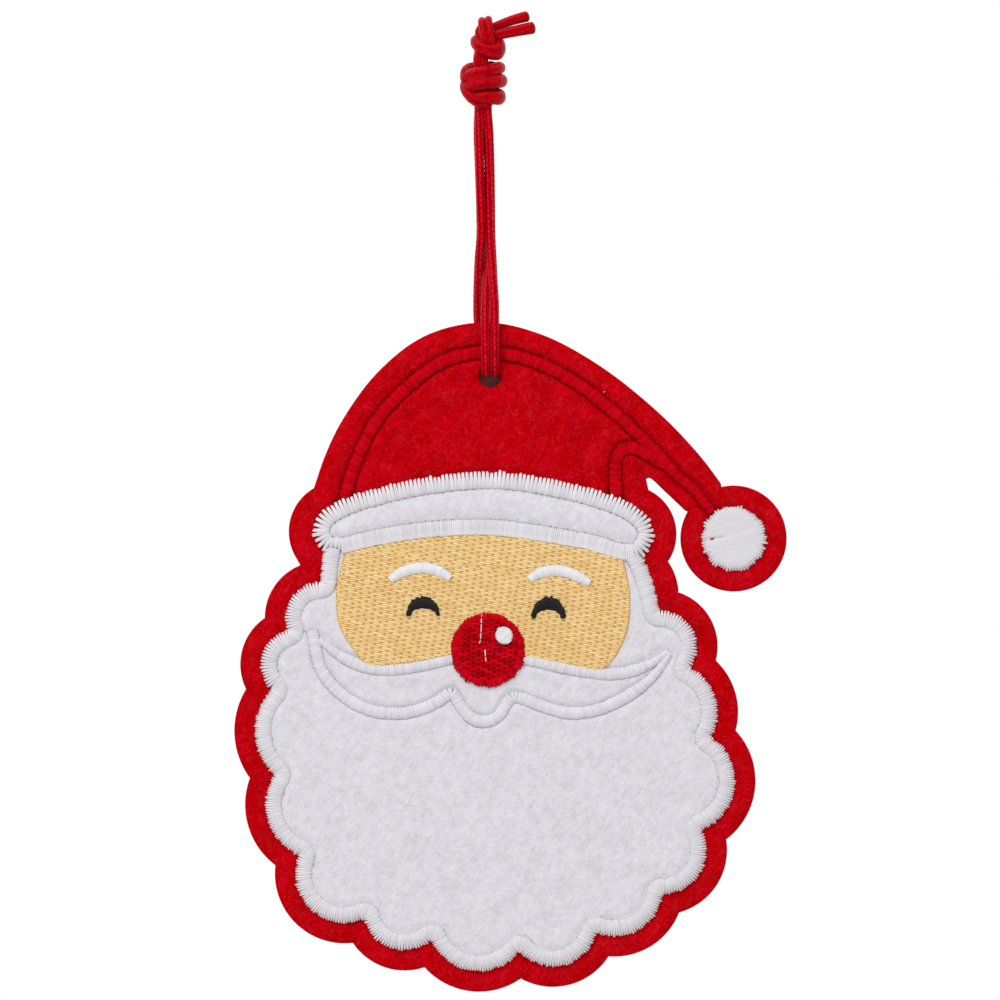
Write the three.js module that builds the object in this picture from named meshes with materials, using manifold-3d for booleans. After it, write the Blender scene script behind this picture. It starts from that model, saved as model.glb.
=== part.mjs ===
// Felt Christmas ornament: a bearded face under a pointed hat, cut from red and white felt,
// embroidered with satin and fill stitches and hung from a knotted red cord.
// Millimetres, +Z up, the face looks along -Y. The origin is the hang point, where a hook
// or a twig sits in the cord loop, just under the barrel knot.

import * as THREE from "three";
import { mergeVertices } from "three/addons/utils/BufferGeometryUtils.js";
import Module from "manifold-3d";

const wasm = await Module();
wasm.setup();

// Red felt over all, pompom included. Outlines and places are given at the drawn sizes and follow
// these two
const feltWidth = 110.4;
const feltHeight = 133.8;
const drawnWidth = 110.4;
const drawnHeight = 133.8;

// A point of an outline, with whatever else its row holds, at the felt's own size
const placed = ([x, y, ...rest]) => [(x * feltWidth) / drawnWidth, (y * feltHeight) / drawnHeight, ...rest];
const outline = (...points) => points.map(placed);

// Layers, from the middle of the sandwich outwards
const feltThickness = 1.5; // front and back sheets of red felt
const stabiliserThickness = 0.25; // embroidery backing left between the sheets
const whiteFeltThickness = 1; // beard and hat trim
const satinHeight = 0.5; // satin stitch above the felt that it covers
const fillHeight = 0.4; // fill stitch of the face
const noseHeight = 0.8; // thick fill of the nose above the white felt
const pompomHeight = 0.6; // satin disc of the pompom above the red felt
const stitchGap = 0.3; // clearance between neighbouring stitched shapes

// Widths of the stitched lines
const borderWidth = 3.3; // satin border of the beard
const trimBorderWidth = 3.4; // satin border of the hat trim
const feltMargin = 4.2; // red felt outside the beard's border
const stabiliserMargin = 1.2; // backing torn off this far inside the border's outer edge
const moustacheWidth = 2.5;
const browWidth = 2.2;
const ridgeWidth = 2.8; // red satin line inside the hat's edge
const foldWidth = 2.8; // red satin line of the fold in the hat
const noseRimWidth = 1.2;
const tipShare = 0.35; // width of a pointed tip, as a share of its line's width

// Round features, in the felt's own frame: x to the right, y up
const noseRadius = 7.5;
const noseCentre = placed([-0.1, -54.7]);
const highlightShare = 0.233; // its radius, as a share of the nose's
const highlightOffset = [0.427, 0.387]; // from the nose's centre, in nose radii
const highlightRadius = highlightShare * noseRadius;
const highlightCentre = noseCentre.map((place, i) => place + highlightOffset[i] * noseRadius);
const pompomRadius = 6.4;
const pompomCentre = placed([49, -32.5]);
const pompomMargin = 4.2; // red felt around the pompom's stitches

// Cord, hole and knots
const cordDiameter = 1.8;
const cordGap = 0.2; // between the two strands in the hole
const holeClearance = 0.15; // between the strands and the punched hole
const feltDrop = 53.6; // hang point down to the felt frame's origin
const feltShift = 0.9; // felt frame's origin to the right of the hang point
const holeCentre = [0.3, -0.15];
const bendRadius = 3.85; // strands turning from the front through the hole to the back
const bendLift = 0.45; // lowest point of the strands above the hole's centre
const swayLimit = 20; // degrees that the loop leans under the knot
const swayClearance = 0.05; // between the leaning strands and the knot
const coreRadius = 2.6; // strands gathered inside the barrel knot
const coreHeight = 8.9;
const neckRadius = 1.7; // doubled cord between the two knots
const neckTop = 10.2;
const windingTurns = 3;
const windingPitch = 2.3;
const windingGap = 0.3; // between the winding and the core
const endKnotRadius = 2.2; // saddle loop of the end knot, to the middle of its doubled cord
const doubledRadius = 1.5; // doubled cord as one round strand
const endKnotCentre = [0.9, 0, 12];
const endKnotTilt = 0.15; // radians, right side down

// Fineness of the curves
const lobeSteps = 7;
const joinSteps = 3;
const splineSteps = 3; // per spline point
const roundSteps = 32;
const cordSides = 8;
const cordSteps = 2; // per route point
const windingSides = 6;
const windingSteps = 24; // per turn
const windingEndSteps = 2; // along each straight end
const saddleSteps = 20;
const gapSamples = 8; // points between two steps where the winding's gap is measured

// Heights towards the viewer
const backInside = -stabiliserThickness;
const frontFace = feltThickness;
const whiteFace = frontFace + whiteFeltThickness;
const borderFace = whiteFace + satinHeight;
const faceFace = whiteFace + fillHeight;
const noseFace = whiteFace + noseHeight;
const throughAll = 20; // half height of a cutting solid
const offsetSlack = 0.001; // rounding allowed in an inward offset

const cordRadius = cordDiameter / 2;
const strandOffset = cordRadius + cordGap / 2;
const feltHalf = feltThickness + stabiliserThickness;
const strandRise = bendRadius + bendLift - Math.sqrt(bendRadius ** 2 - feltHalf ** 2);
const holeRadius = Math.hypot(strandOffset, strandRise) + cordRadius + holeClearance;

// The beard's scalloped edge, along the outside of its border from the left end of the trim
// round the chin to the right end: each point is a cusp, with the bulge of the lobe after it
const beardEdge = outline(
  [-32.4, -33, 0.2],
  [-33.5, -41.2, 3],
  [-40.1, -50.8, 3.6],
  [-43.3, -62.7, 3.6],
  [-42.7, -79.7, 3.9],
  [-37.8, -95.8, 6.7],
  [-24.8, -108.4, 3.9],
  [-11.4, -112.7, 5],
  [6.2, -115, 4.7],
  [21.6, -111.2, 3.7],
  [34.8, -103.5, 4.2],
  [42.5, -90.7, 5.7],
  [44.4, -72.1, 3.1],
  [40.2, -58.3, 4.1],
  [34.1, -46.9, 0.5],
  [30.2, -35, 0],
);

// Red felt outside the ends of the trim, right then left, as arcs: start, end, bulge
const rightShoulder = { start: placed([35.9, -37.1]), end: placed([32, -22.8]), bulge: 3.4 };
const leftShoulder = { start: placed([-34.9, -22.4]), end: placed([-37.9, -37.2]), bulge: 3.4 };
const rightCheek = placed([38, -42.9]); // cusp under the right shoulder
// Under side of the hat's hanging tail, from the slit's rounded end to the pompom
const tailUnderside = outline(
  [31.5, -20.6],
  [32.2, -20.4],
  [35.4, -23.2],
  [39.2, -26.8],
);
// Hat edge from the pompom over the crown to the left end of the trim
const hatEdge = outline(
  [46.4, -21.4],
  [42.3, -16],
  [34.3, -7.6],
  [22.3, 2],
  [10.3, 8.4],
  [-1, 10.7],
  [-12.7, 8],
  [-22.1, 0.8],
  [-29.2, -8.8],
  [-32.7, -16],
);

// Outside edge of the hat trim's border, anticlockwise from its left end
const trimEdge = outline(
  [-35.1, -31.2],
  [-33.1, -34.9],
  [-28.9, -35.6],
  [-24.5, -34.5],
  [-12.5, -32.5],
  [0.5, -32],
  [9.3, -33.1],
  [20.3, -35],
  [26.6, -36.8],
  [30.6, -36.4],
  [33.2, -32],
  [32.2, -28.6],
  [28.4, -25.5],
  [20.7, -22.6],
  [8.7, -20],
  [-0.7, -19.2],
  [-14, -20.6],
  [-22.4, -22.5],
  [-29.1, -24.7],
  [-33.7, -27.6],
);

// Face, anticlockwise; its top runs under the trim, which cuts it
const faceEdge = outline(
  [-28.5, -33],
  [-30.3, -41.7],
  [-30.4, -45.3],
  [-29.8, -49.7],
  [-27.9, -53.3],
  [-24.3, -57.4],
  [-19.7, -57.6],
  [-13.1, -56.8],
  [-7.7, -55.8],
  [7.1, -55.8],
  [15.6, -57.5],
  [22.3, -58.6],
  [24.8, -56.8],
  [27.6, -51.2],
  [28.3, -46.1],
  [28, -41.5],
  [26.2, -33],
);

// Middle of each stitched line
const upperLeftLine = outline(
  [-33.8, -52.6],
  [-30.5, -55.2],
  [-28, -56.7],
  [-24.5, -58.1],
  [-19.9, -58.6],
  [-13.7, -57.8],
  [-6, -56],
);
const upperRightLine = outline(
  [5, -55.9],
  [15.6, -58.3],
  [22.7, -59.4],
  [26.6, -59.3],
  [30.4, -58.3],
  [33.7, -56.6],
  [35.8, -55],
);
const lowerLine = outline(
  [-35.2, -50.8],
  [-34.5, -54.3],
  [-33.6, -58.2],
  [-30.6, -62.4],
  [-26.6, -65.4],
  [-22.4, -67],
  [-17.7, -67.3],
  [-13.5, -66.5],
  [-9.8, -64.8],
  [-7, -63.4],
  [-4.8, -64.5],
  [-2.4, -67.4],
  [0, -68.4],
  [2.4, -67],
  [4.2, -64.8],
  [6.2, -64.3],
  [9.7, -66],
  [16.5, -67.3],
  [22.7, -66.3],
  [29.1, -63],
  [33.5, -59.2],
  [36.2, -55.4],
);
const ridgeLine = outline(
  [-29.2, -26],
  [-26.6, -17.4],
  [-22, -8.4],
  [-15.2, -1.4],
  [-9.2, 2.8],
  [-2.6, 4.6],
  [4, 4.3],
  [11.3, 2],
  [20.6, -3.6],
  [31.7, -13.4],
  [38, -20.2],
  [41.4, -23],
  [44.6, -27.2],
);
const foldLine = outline(
  [25.7, -26],
  [25.3, -19.4],
  [25.7, -16],
  [27.3, -14.3],
  [29.5, -14.3],
  [33.8, -17],
);

// Middle of each brow
const brows = {
  brow_left: outline([-19.4, -40.6], [-17, -39.2], [-13.2, -38.4], [-9.4, -39.2], [-7.9, -40.3]),
  brow_right: outline([8.4, -40.6], [9.7, -39.6], [13, -38.9], [16.6, -39.5], [19.9, -41.3]),
};
// Eyes: middle, half width, height of the outer arch and of the hollow below it
const eyes = {
  eye_left: { at: placed([-13.1, -47.6]), half: 3.4, arch: 3.6, hollow: 1.4 },
  eye_right: { at: placed([12, -48.1]), half: 3.4, arch: 4.2, hollow: 1.5 },
};
const eyeFoot = 1.2; // width of an eye's blunt ends

// Route of each loop of the cord: down its front strand, then up its back strand. The tops
// give the quarter of the bundle under the knot where each strand ends.
const leftRoute = {
  side: -1,
  front: [
    [1.05, 1, -10],
    [1.15, 0.95, -20],
    [1.1, 0.7, -27],
    [0.9, 0.4, -31],
    [0.7, -0.6, -34],
    [0.45, -1.7, -37],
    [0.3, -2.9, -40.5],
    [0.2, -3.6, -45],
  ],
  back: [
    [-0.5, 3.8, -46],
    [-1.3, 3.4, -42.5],
    [-1.4, 2.5, -39],
    [-1.35, 1.4, -36],
    [-1.2, 0.4, -33],
    [-1, -0.4, -30],
    [-0.8, -0.9, -26],
    [-0.85, -1, -18],
    [-1.1, -1, -8],
  ],
  tops: [
    [1, 1],
    [-1, -1],
  ],
};
const rightRoute = {
  side: 1,
  front: [
    [1.15, -1, -8],
    [1.3, -1.05, -18],
    [1.5, -1.35, -26],
    [1.65, -1.9, -31],
    [1.85, -2.7, -35],
    [2.1, -3.3, -39],
    [2.25, -3.7, -44],
  ],
  back: [
    [2.1, 3.8, -46],
    [1.7, 3.4, -42],
    [0.9, 3, -37],
    [0, 2.6, -32],
    [-0.6, 1.9, -26],
    [-0.95, 1.2, -18],
    [-1, 1, -8],
  ],
  tops: [
    [1, -1],
    [-1, 1],
  ],
};
// Doubled cord that rises from the end knot's saddle and turns over to the back
const arch = [
  [0.7, -0.9, 11.4],
  [0.7, -2.1, 13.6],
  [0.5, -1.6, 15.6],
  [0.4, -0.3, 16.6],
  [0.5, 1.2, 15.2],
  [0.7, 1, 12],
];
// Cut ends of the cord, which stand clear of the end knot by about the stitches' gap
const tails = {
  cord_tail_upper: [
    [2.3, 0.75, 16.7],
    [4.6, 0.5, 17.5],
    [8.4, 0.2, 18.5],
  ],
  cord_tail_lower: [
    [2.45, -0.75, 14.6],
    [5.5, -0.85, 15.25],
    [10, -1, 15.9],
  ],
};

// Small plane geometry

const angleOf = (centre, point) => Math.atan2(point[1] - centre[1], point[0] - centre[0]);

const onCircle = (centre, radius, angle) => [
  centre[0] + radius * Math.cos(angle),
  centre[1] + radius * Math.sin(angle),
];

// Points along an arc of a circle, both ends included
function arc(centre, radius, from, to, steps) {
  const points = [];
  for (let i = 0; i <= steps; i++) {
    points.push(onCircle(centre, radius, from + ((to - from) * i) / steps));
  }
  return points;
}

// Circle of the arc from a to b that bulges to the right of the way
function circleOf(a, b, bulge) {
  const chord = [b[0] - a[0], b[1] - a[1]];
  const length = Math.hypot(...chord);
  const radius = (length ** 2 / 4 + bulge ** 2) / (2 * bulge);
  const back = (radius - bulge) / length;
  return {
    centre: [(a[0] + b[0]) / 2 - chord[1] * back, (a[1] + b[1]) / 2 + chord[0] * back],
    radius,
  };
}

// Angle after the first one, less than a full turn on
const anglePast = (from, to) => from + ((((to - from) % (2 * Math.PI)) + 2 * Math.PI) % (2 * Math.PI));

function bulgedArc({ start, end, bulge }, steps) {
  const { centre, radius } = circleOf(start, end, bulge);
  const from = angleOf(centre, start);
  return arc(centre, radius, from, anglePast(from, angleOf(centre, end)), steps);
}

const lobes = beardEdge.slice(0, -1).map(([x, y, bulge], i) => {
  const end = beardEdge[i + 1].slice(0, 2);
  return { start: [x, y], end, ...circleOf([x, y], end, bulge) };
});

// Where two lobes grown by a margin cross, on the side of their shared cusp
function grownCusp(a, b, margin) {
  const ra = a.radius + margin;
  const rb = b.radius + margin;
  const between = [b.centre[0] - a.centre[0], b.centre[1] - a.centre[1]];
  const distance = Math.hypot(...between);
  const along = (distance ** 2 + ra ** 2 - rb ** 2) / (2 * distance);
  const across = Math.sqrt(ra ** 2 - along ** 2);
  return [
    a.centre[0] + (between[0] * along + between[1] * across) / distance,
    a.centre[1] + (between[1] * along - between[0] * across) / distance,
  ];
}

// The scalloped edge moved outwards by a margin: lobes grow and meet in sharper cusps
function grownScallops(chosen, margin, first, last) {
  return chosen.flatMap((lobe, i) => {
    const start = i ? grownCusp(chosen[i - 1], lobe, margin) : first;
    const end = i < chosen.length - 1 ? grownCusp(lobe, chosen[i + 1], margin) : last;
    const from = angleOf(lobe.centre, start);
    const to = anglePast(from, angleOf(lobe.centre, end));
    return arc(lobe.centre, lobe.radius + margin, from, to, lobeSteps);
  });
}

// The scalloped edge moved inwards: lobes shrink and are joined by arcs round the cusps
function shrunkScallops(inset) {
  return lobes.flatMap((lobe, i) => {
    const from = angleOf(lobe.centre, lobe.start);
    const to = anglePast(from, angleOf(lobe.centre, lobe.end));
    const points = arc(lobe.centre, lobe.radius - inset, from, to, lobeSteps);
    const next = lobes[i + 1];
    if (inset > 0 && next) {
      const turn = angleOf(lobe.end, next.centre);
      const join = arc(lobe.end, inset, anglePast(turn, angleOf(lobe.end, lobe.centre)), turn, joinSteps);
      points.push(...join.slice(1, -1));
    }
    return points;
  });
}

function spline(points, closed = false) {
  const flat = points.map(([x, y]) => new THREE.Vector3(x, y, 0));
  const curve = new THREE.CatmullRomCurve3(flat, closed);
  const steps = splineSteps * (closed ? points.length : points.length - 1);
  const sampled = curve.getPoints(steps).map((p) => [p.x, p.y]);
  return closed ? sampled.slice(0, -1) : sampled;
}

// Each point moved to the right of the way, square to both stretches that meet there, by a
// distance that depends on its share of the line
function shifted(points, distance, closed = false) {
  const count = points.length;
  const rightOf = (a, b) => {
    const length = Math.hypot(b[0] - a[0], b[1] - a[1]);
    return [(b[1] - a[1]) / length, (a[0] - b[0]) / length];
  };
  return points.map((point, i) => {
    const before = i || closed ? rightOf(points.at(i - 1), point) : rightOf(point, points[1]);
    const isEnd = i === count - 1 && !closed;
    const after = isEnd ? before : rightOf(point, points[(i + 1) % count]);
    const reach = distance(i / (count - 1)) / (1 + before[0] * after[0] + before[1] * after[1]);
    return [point[0] + (before[0] + after[0]) * reach, point[1] + (before[1] + after[1]) * reach];
  });
}

function distanceToSegment([x, y], a, b) {
  const way = [b[0] - a[0], b[1] - a[1]];
  const share = ((x - a[0]) * way[0] + (y - a[1]) * way[1]) / (way[0] ** 2 + way[1] ** 2);
  const nearest = Math.min(Math.max(share, 0), 1);
  return Math.hypot(x - a[0] - nearest * way[0], y - a[1] - nearest * way[1]);
}

// A closed outline moved inwards, without the points that come too near another stretch of it
function inwards(points, inset) {
  const tooNear = (point) =>
    points.some((a, i) => distanceToSegment(point, a, points.at(i - 1)) < inset - offsetSlack);
  return shifted(points, () => -inset, true).filter((point) => !tooNear(point));
}

// Outline of a stitched line: its middle spline given a width, tapering over a share at each tip
function lineOutline(points, width, extra, tipShares = [0, 0]) {
  const middle = spline(points);
  const taper = (share, tip) => (tip ? Math.min(1, tipShare + ((1 - tipShare) * share) / tip) : 1);
  const half = (t) => (width / 2) * Math.min(taper(t, tipShares[0]), taper(1 - t, tipShares[1])) + extra;
  const right = shifted(middle, half);
  const left = shifted(middle, (t) => -half(t));
  return [...right, ...left.reverse()];
}

// An arch between two feet: an outer half ellipse and a hollow under it
function archOutline({ at, half, arch: height, hollow }, foot) {
  const outer = arc([0, 0], 1, 0, Math.PI, roundSteps / 2);
  const inner = outer.toReversed();
  return [
    ...outer.map(([x, y]) => [at[0] + half * x, at[1] + height * y]),
    ...inner.map(([x, y]) => [at[0] + (half - foot) * x, at[1] + hollow * y]),
  ];
}

const disc = (centre, radius) => arc(centre, radius, 0, 2 * Math.PI, roundSteps).slice(0, -1);

// Solids

function slab(edge, bottom, top, holes = []) {
  const vectors = (points) => points.map(([x, y]) => new THREE.Vector2(x, y));
  const shape = new THREE.Shape(vectors(edge));
  shape.holes = holes.map((hole) => new THREE.Path(vectors(hole)));
  const geometry = new THREE.ExtrudeGeometry(shape, { depth: top - bottom, bevelEnabled: false });
  return geometry.translate(0, 0, bottom);
}

const cutter = (edge) => slab(edge, -throughAll, throughAll);

function toManifold(geometry) {
  const bare = geometry.clone();
  bare.deleteAttribute("normal");
  bare.deleteAttribute("uv");
  const merged = mergeVertices(bare, 1e-4);
  return new wasm.Manifold(
    new wasm.Mesh({
      numProp: 3,
      vertProperties: merged.attributes.position.array,
      triVerts: new Uint32Array(merged.index.array),
    }),
  );
}

function toGeometry(solid) {
  const { vertProperties, triVerts } = solid.getMesh();
  const geometry = new THREE.BufferGeometry();
  geometry.setAttribute("position", new THREE.BufferAttribute(vertProperties, 3));
  geometry.setIndex(new THREE.BufferAttribute(triVerts, 1));
  return geometry;
}

function cut(geometry, ...tools) {
  const solid = tools.reduce((rest, tool) => rest.subtract(toManifold(tool)), toManifold(geometry));
  return toGeometry(solid);
}

const join = (...pieces) => toGeometry(pieces.map(toManifold).reduce((all, piece) => all.add(piece)));

// A cord's curve: every stretch between two route points gets the same number of steps
class RouteCurve extends THREE.CatmullRomCurve3 {
  getUtoTmapping(u) {
    return u;
  }
}

function tube(curve, radius, sides, steps) {
  const corners = arc([0, 0], radius, 0, 2 * Math.PI, sides).slice(0, -1);
  const section = new THREE.Shape(corners.map(([x, y]) => new THREE.Vector2(x, y)));
  return new THREE.ExtrudeGeometry(section, { steps, extrudePath: curve });
}

function routeTube(points, radius, sides = cordSides) {
  const curve = new RouteCurve(points.map((p) => new THREE.Vector3(...p)));
  return tube(curve, radius, sides, cordSteps * (points.length - 1));
}

// A winding round the core: a helix with a straight run of one cord diameter at each end
class WindingCurve extends THREE.Curve {
  constructor(radius, pitch, turns, bottom) {
    super();
    Object.assign(this, { radius, pitch, turns, bottom });
    this.helixLength = turns * Math.hypot(2 * Math.PI * radius, pitch);
    this.fullLength = this.helixLength + 2 * cordDiameter;
  }

  // The helix starts and ends at the back of the knot
  getPoint(t) {
    const along = t * this.fullLength - cordDiameter;
    const nearest = Math.min(Math.max(along, 0), this.helixLength);
    const turned = (this.turns * nearest) / this.helixLength;
    const angle = Math.PI / 2 + 2 * Math.PI * turned;
    const rise = this.pitch / (2 * Math.PI * this.radius);
    const way = new THREE.Vector3(-Math.sin(angle), Math.cos(angle), rise).normalize();
    const point = new THREE.Vector3(this.radius * Math.cos(angle), this.radius * Math.sin(angle));
    point.z = this.bottom + this.pitch * turned;
    return point.addScaledVector(way, along - nearest);
  }
}

// Least clear distance between stretches of a winding that are over half a turn apart
function leastGap(curve, radius, count) {
  const points = curve.getSpacedPoints(count);
  const apart = Math.ceil((count / curve.fullLength) * Math.PI * curve.radius);
  let least = Infinity;
  for (let i = 0; i < points.length; i++) {
    for (let j = i + apart; j < points.length; j++) {
      least = Math.min(least, points[i].distanceTo(points[j]));
    }
  }
  return least - 2 * radius;
}

// Outlines of the felt

const feltLobes = lobes.slice(1, -1);
const pompomFeltRadius = pompomRadius + pompomMargin;
const pompomStart = angleOf(pompomCentre, tailUnderside.at(-1));
const pompomEnd = anglePast(pompomStart, angleOf(pompomCentre, hatEdge[0]));
const feltOutline = [
  ...grownScallops(feltLobes, feltMargin, leftShoulder.end, rightCheek),
  ...bulgedArc(rightShoulder, lobeSteps),
  ...spline(tailUnderside),
  ...arc(pompomCentre, pompomFeltRadius, pompomStart, pompomEnd, roundSteps),
  ...spline([...hatEdge, leftShoulder.start]).slice(1),
  ...bulgedArc(leftShoulder, lobeSteps).slice(1, -1),
];
const hole = disc(holeCentre, holeRadius);

const trimOutline = spline(trimEdge, true);
const aroundTrim = cutter(shifted(trimOutline, () => stitchGap, true));
const aroundNose = cutter(disc(noseCentre, noseRadius + stitchGap));

const slitEnd = tailUnderside[0][0];
const hatLining = spline(ridgeLine).filter(([x]) => x < slitEnd - stabiliserMargin);
const stabiliserOutline = [...shrunkScallops(stabiliserMargin), ...hatLining.reverse()];

const upperTips = { left: [0.25, 0], right: [0, 0.25] }; // shares of each line that taper
const lowerTips = [0, 0.12];
const browTips = [0.2, 0.2];
const ridgeTips = [0, 0.2];
const lowerCutter = cutter(lineOutline(lowerLine, moustacheWidth, stitchGap, lowerTips));
const upperCutters = [upperLeftLine, upperRightLine].map((line) =>
  cutter(lineOutline(line, moustacheWidth, stitchGap)),
);
const ridgeOutline = (extra) => lineOutline(ridgeLine, ridgeWidth, extra, ridgeTips);

// Materials

const finish = (color, roughness) => new THREE.MeshStandardMaterial({ color, roughness, metalness: 0 });
const redFelt = finish(0xbc0412, 0.95);
const whiteFelt = finish(0xdcdae0, 0.95);
const paper = finish(0x6e6468, 0.9);
const whiteThread = finish(0xe8e8ec, 0.5);
const redThread = finish(0xb00614, 0.5);
const tanThread = finish(0xe4c184, 0.5);
const blackThread = finish(0x12110f, 0.5);
const redCord = finish(0xa80a16, 0.6);

function addPiece(group, name, geometry, material) {
  const mesh = new THREE.Mesh(geometry, material);
  mesh.name = name;
  group.add(mesh);
}

// Felt and stitching: drawn flat, then stood upright so that their height points to -Y
const ornament = new THREE.Group();
ornament.rotation.x = Math.PI / 2;
ornament.position.set(feltShift, 0, -feltDrop);

addPiece(ornament, "front_felt", slab(feltOutline, 0, frontFace, [hole]), redFelt);
addPiece(ornament, "back_felt", slab(feltOutline, backInside - feltThickness, backInside, [hole]), redFelt);
addPiece(ornament, "stabiliser", slab(stabiliserOutline, backInside, 0, [hole]), paper);

const beardFelt = slab(shrunkScallops(borderWidth + stitchGap), frontFace, whiteFace);
addPiece(ornament, "beard_felt", cut(beardFelt, aroundTrim), whiteFelt);
const borderOutline = [...shrunkScallops(0), ...shrunkScallops(borderWidth).reverse()];
const beardBorder = slab(borderOutline, frontFace, borderFace);
addPiece(ornament, "beard_border", cut(beardBorder, aroundTrim), whiteThread);

const trimInside = inwards(trimOutline, trimBorderWidth);
const trimBorder = slab(trimOutline, frontFace, borderFace, [trimInside]);
addPiece(ornament, "trim_border", trimBorder, whiteThread);
const trimFelt = slab(inwards(trimOutline, trimBorderWidth + stitchGap), frontFace, whiteFace);
addPiece(ornament, "trim_felt", trimFelt, whiteFelt);

const faceFill = slab(spline(faceEdge, true), whiteFace, faceFace);
const aroundBorder = cutter([
  ...shrunkScallops(borderWidth + stitchGap),
  [beardEdge.at(-1)[0], throughAll],
  [beardEdge[0][0], throughAll],
]);
const insideBorder = toGeometry(toManifold(faceFill).intersect(toManifold(aroundBorder)));
addPiece(ornament, "face_fill", cut(insideBorder, aroundTrim, aroundNose, ...upperCutters), tanThread);

for (const [name, line] of Object.entries(brows)) {
  const brow = lineOutline(line, browWidth, 0, browTips);
  addPiece(ornament, name, slab(brow, faceFace, faceFace + satinHeight), whiteThread);
}
for (const [name, eye] of Object.entries(eyes)) {
  addPiece(ornament, name, slab(archOutline(eye, eyeFoot), faceFace, faceFace + satinHeight), blackThread);
}

const noseInside = noseRadius - noseRimWidth;
const noseRim = slab(disc(noseCentre, noseRadius), whiteFace, noseFace, [disc(noseCentre, noseInside)]);
addPiece(ornament, "nose_rim", noseRim, redThread);
const noseFill = slab(disc(noseCentre, noseInside - stitchGap), whiteFace, noseFace);
addPiece(ornament, "nose_fill", noseFill, redThread);
const highlight = slab(disc(highlightCentre, highlightRadius), noseFace, noseFace + satinHeight);
addPiece(ornament, "nose_highlight", highlight, whiteThread);

const moustache = (line, tips) =>
  slab(lineOutline(line, moustacheWidth, 0, tips), whiteFace, whiteFace + satinHeight);
const upperLeft = cut(moustache(upperLeftLine, upperTips.left), aroundNose, lowerCutter);
addPiece(ornament, "moustache_upper_left", upperLeft, whiteThread);
const upperRight = cut(moustache(upperRightLine, upperTips.right), aroundNose, lowerCutter);
addPiece(ornament, "moustache_upper_right", upperRight, whiteThread);
addPiece(ornament, "moustache_lower", moustache(lowerLine, lowerTips), whiteThread);

const hatStitch = (edge) => slab(edge, frontFace, frontFace + satinHeight);
const aroundPompom = cutter(disc(pompomCentre, pompomRadius + stitchGap));
const hatRidge = cut(hatStitch(ridgeOutline(0)), aroundTrim, aroundPompom);
addPiece(ornament, "hat_ridge", hatRidge, redThread);
const foldOutline = lineOutline(foldLine, foldWidth, 0);
const hatFold = cut(hatStitch(foldOutline), aroundTrim, cutter(ridgeOutline(stitchGap)));
addPiece(ornament, "hat_fold", hatFold, redThread);
const pompomFill = slab(disc(pompomCentre, pompomRadius), frontFace, frontFace + pompomHeight);
addPiece(ornament, "pompom_fill", pompomFill, whiteThread);

// Cord loops: two strands in front, through the hole, two strands behind
const loops = new THREE.Group();
const holeX = feltShift + holeCentre[0];
const bendZ = holeCentre[1] - feltDrop + bendLift + bendRadius;
const strandReach = strandOffset + cordRadius; // outside of the strands under the knot
const strandTop = -(strandReach * Math.tan(THREE.MathUtils.degToRad(swayLimit)) + swayClearance);

function bendPoints(x) {
  const halfTurn = [0, 0.25, 0.5, 0.75, 1];
  return halfTurn.map((share) => [
    x,
    -bendRadius * Math.cos(Math.PI * share),
    bendZ - bendRadius * Math.sin(Math.PI * share),
  ]);
}

function loopRoute({ side, front, back, tops }) {
  const ends = tops.map(([x, y]) => [x * strandOffset, y * strandOffset, strandTop]);
  return [ends[0], ...front, ...bendPoints(holeX + side * strandOffset), ...back, ends[1]];
}

addPiece(loops, "cord_loop_left", routeTube(loopRoute(leftRoute), cordRadius), redCord);
addPiece(loops, "cord_loop_right", routeTube(loopRoute(rightRoute), cordRadius), redCord);

// Knots above the hang point
const hanger = new THREE.Group();
const coreProfile = [
  [0, 0],
  [coreRadius, 0],
  [coreRadius, coreHeight],
  [neckRadius, coreHeight],
  [neckRadius, neckTop],
  [0, neckTop],
].map(([r, z]) => new THREE.Vector2(r, z));
const core = new THREE.LatheGeometry(coreProfile, roundSteps / 2).rotateX(Math.PI / 2);
addPiece(hanger, "knot_core", core, redCord);

const windingRadius = coreRadius + windingGap + cordRadius;
const winding = new WindingCurve(windingRadius, windingPitch, windingTurns, cordRadius);
const windingTotal = windingSteps * windingTurns + 2 * windingEndSteps;
addPiece(hanger, "barrel_knot", tube(winding, cordRadius, windingSides, windingTotal), redCord);
const gap = leastGap(winding, cordRadius, windingSteps * windingTurns * gapSamples);
console.log("barrel knot: least gap between turns", gap.toFixed(2), "mm");

const saddle = new THREE.TorusGeometry(endKnotRadius, doubledRadius, cordSides, saddleSteps);
saddle.rotateY(endKnotTilt).translate(...endKnotCentre);
addPiece(hanger, "end_knot", join(saddle, routeTube(arch, doubledRadius)), redCord);
for (const [name, points] of Object.entries(tails)) {
  addPiece(hanger, name, routeTube(points, cordRadius), redCord);
}

const part = new THREE.Group();
part.add(ornament, loops, hanger);

export default part;
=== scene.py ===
import math

import bpy
import numpy as np
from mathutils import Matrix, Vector
from mathutils.geometry import delaunay_2d_cdt


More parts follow.
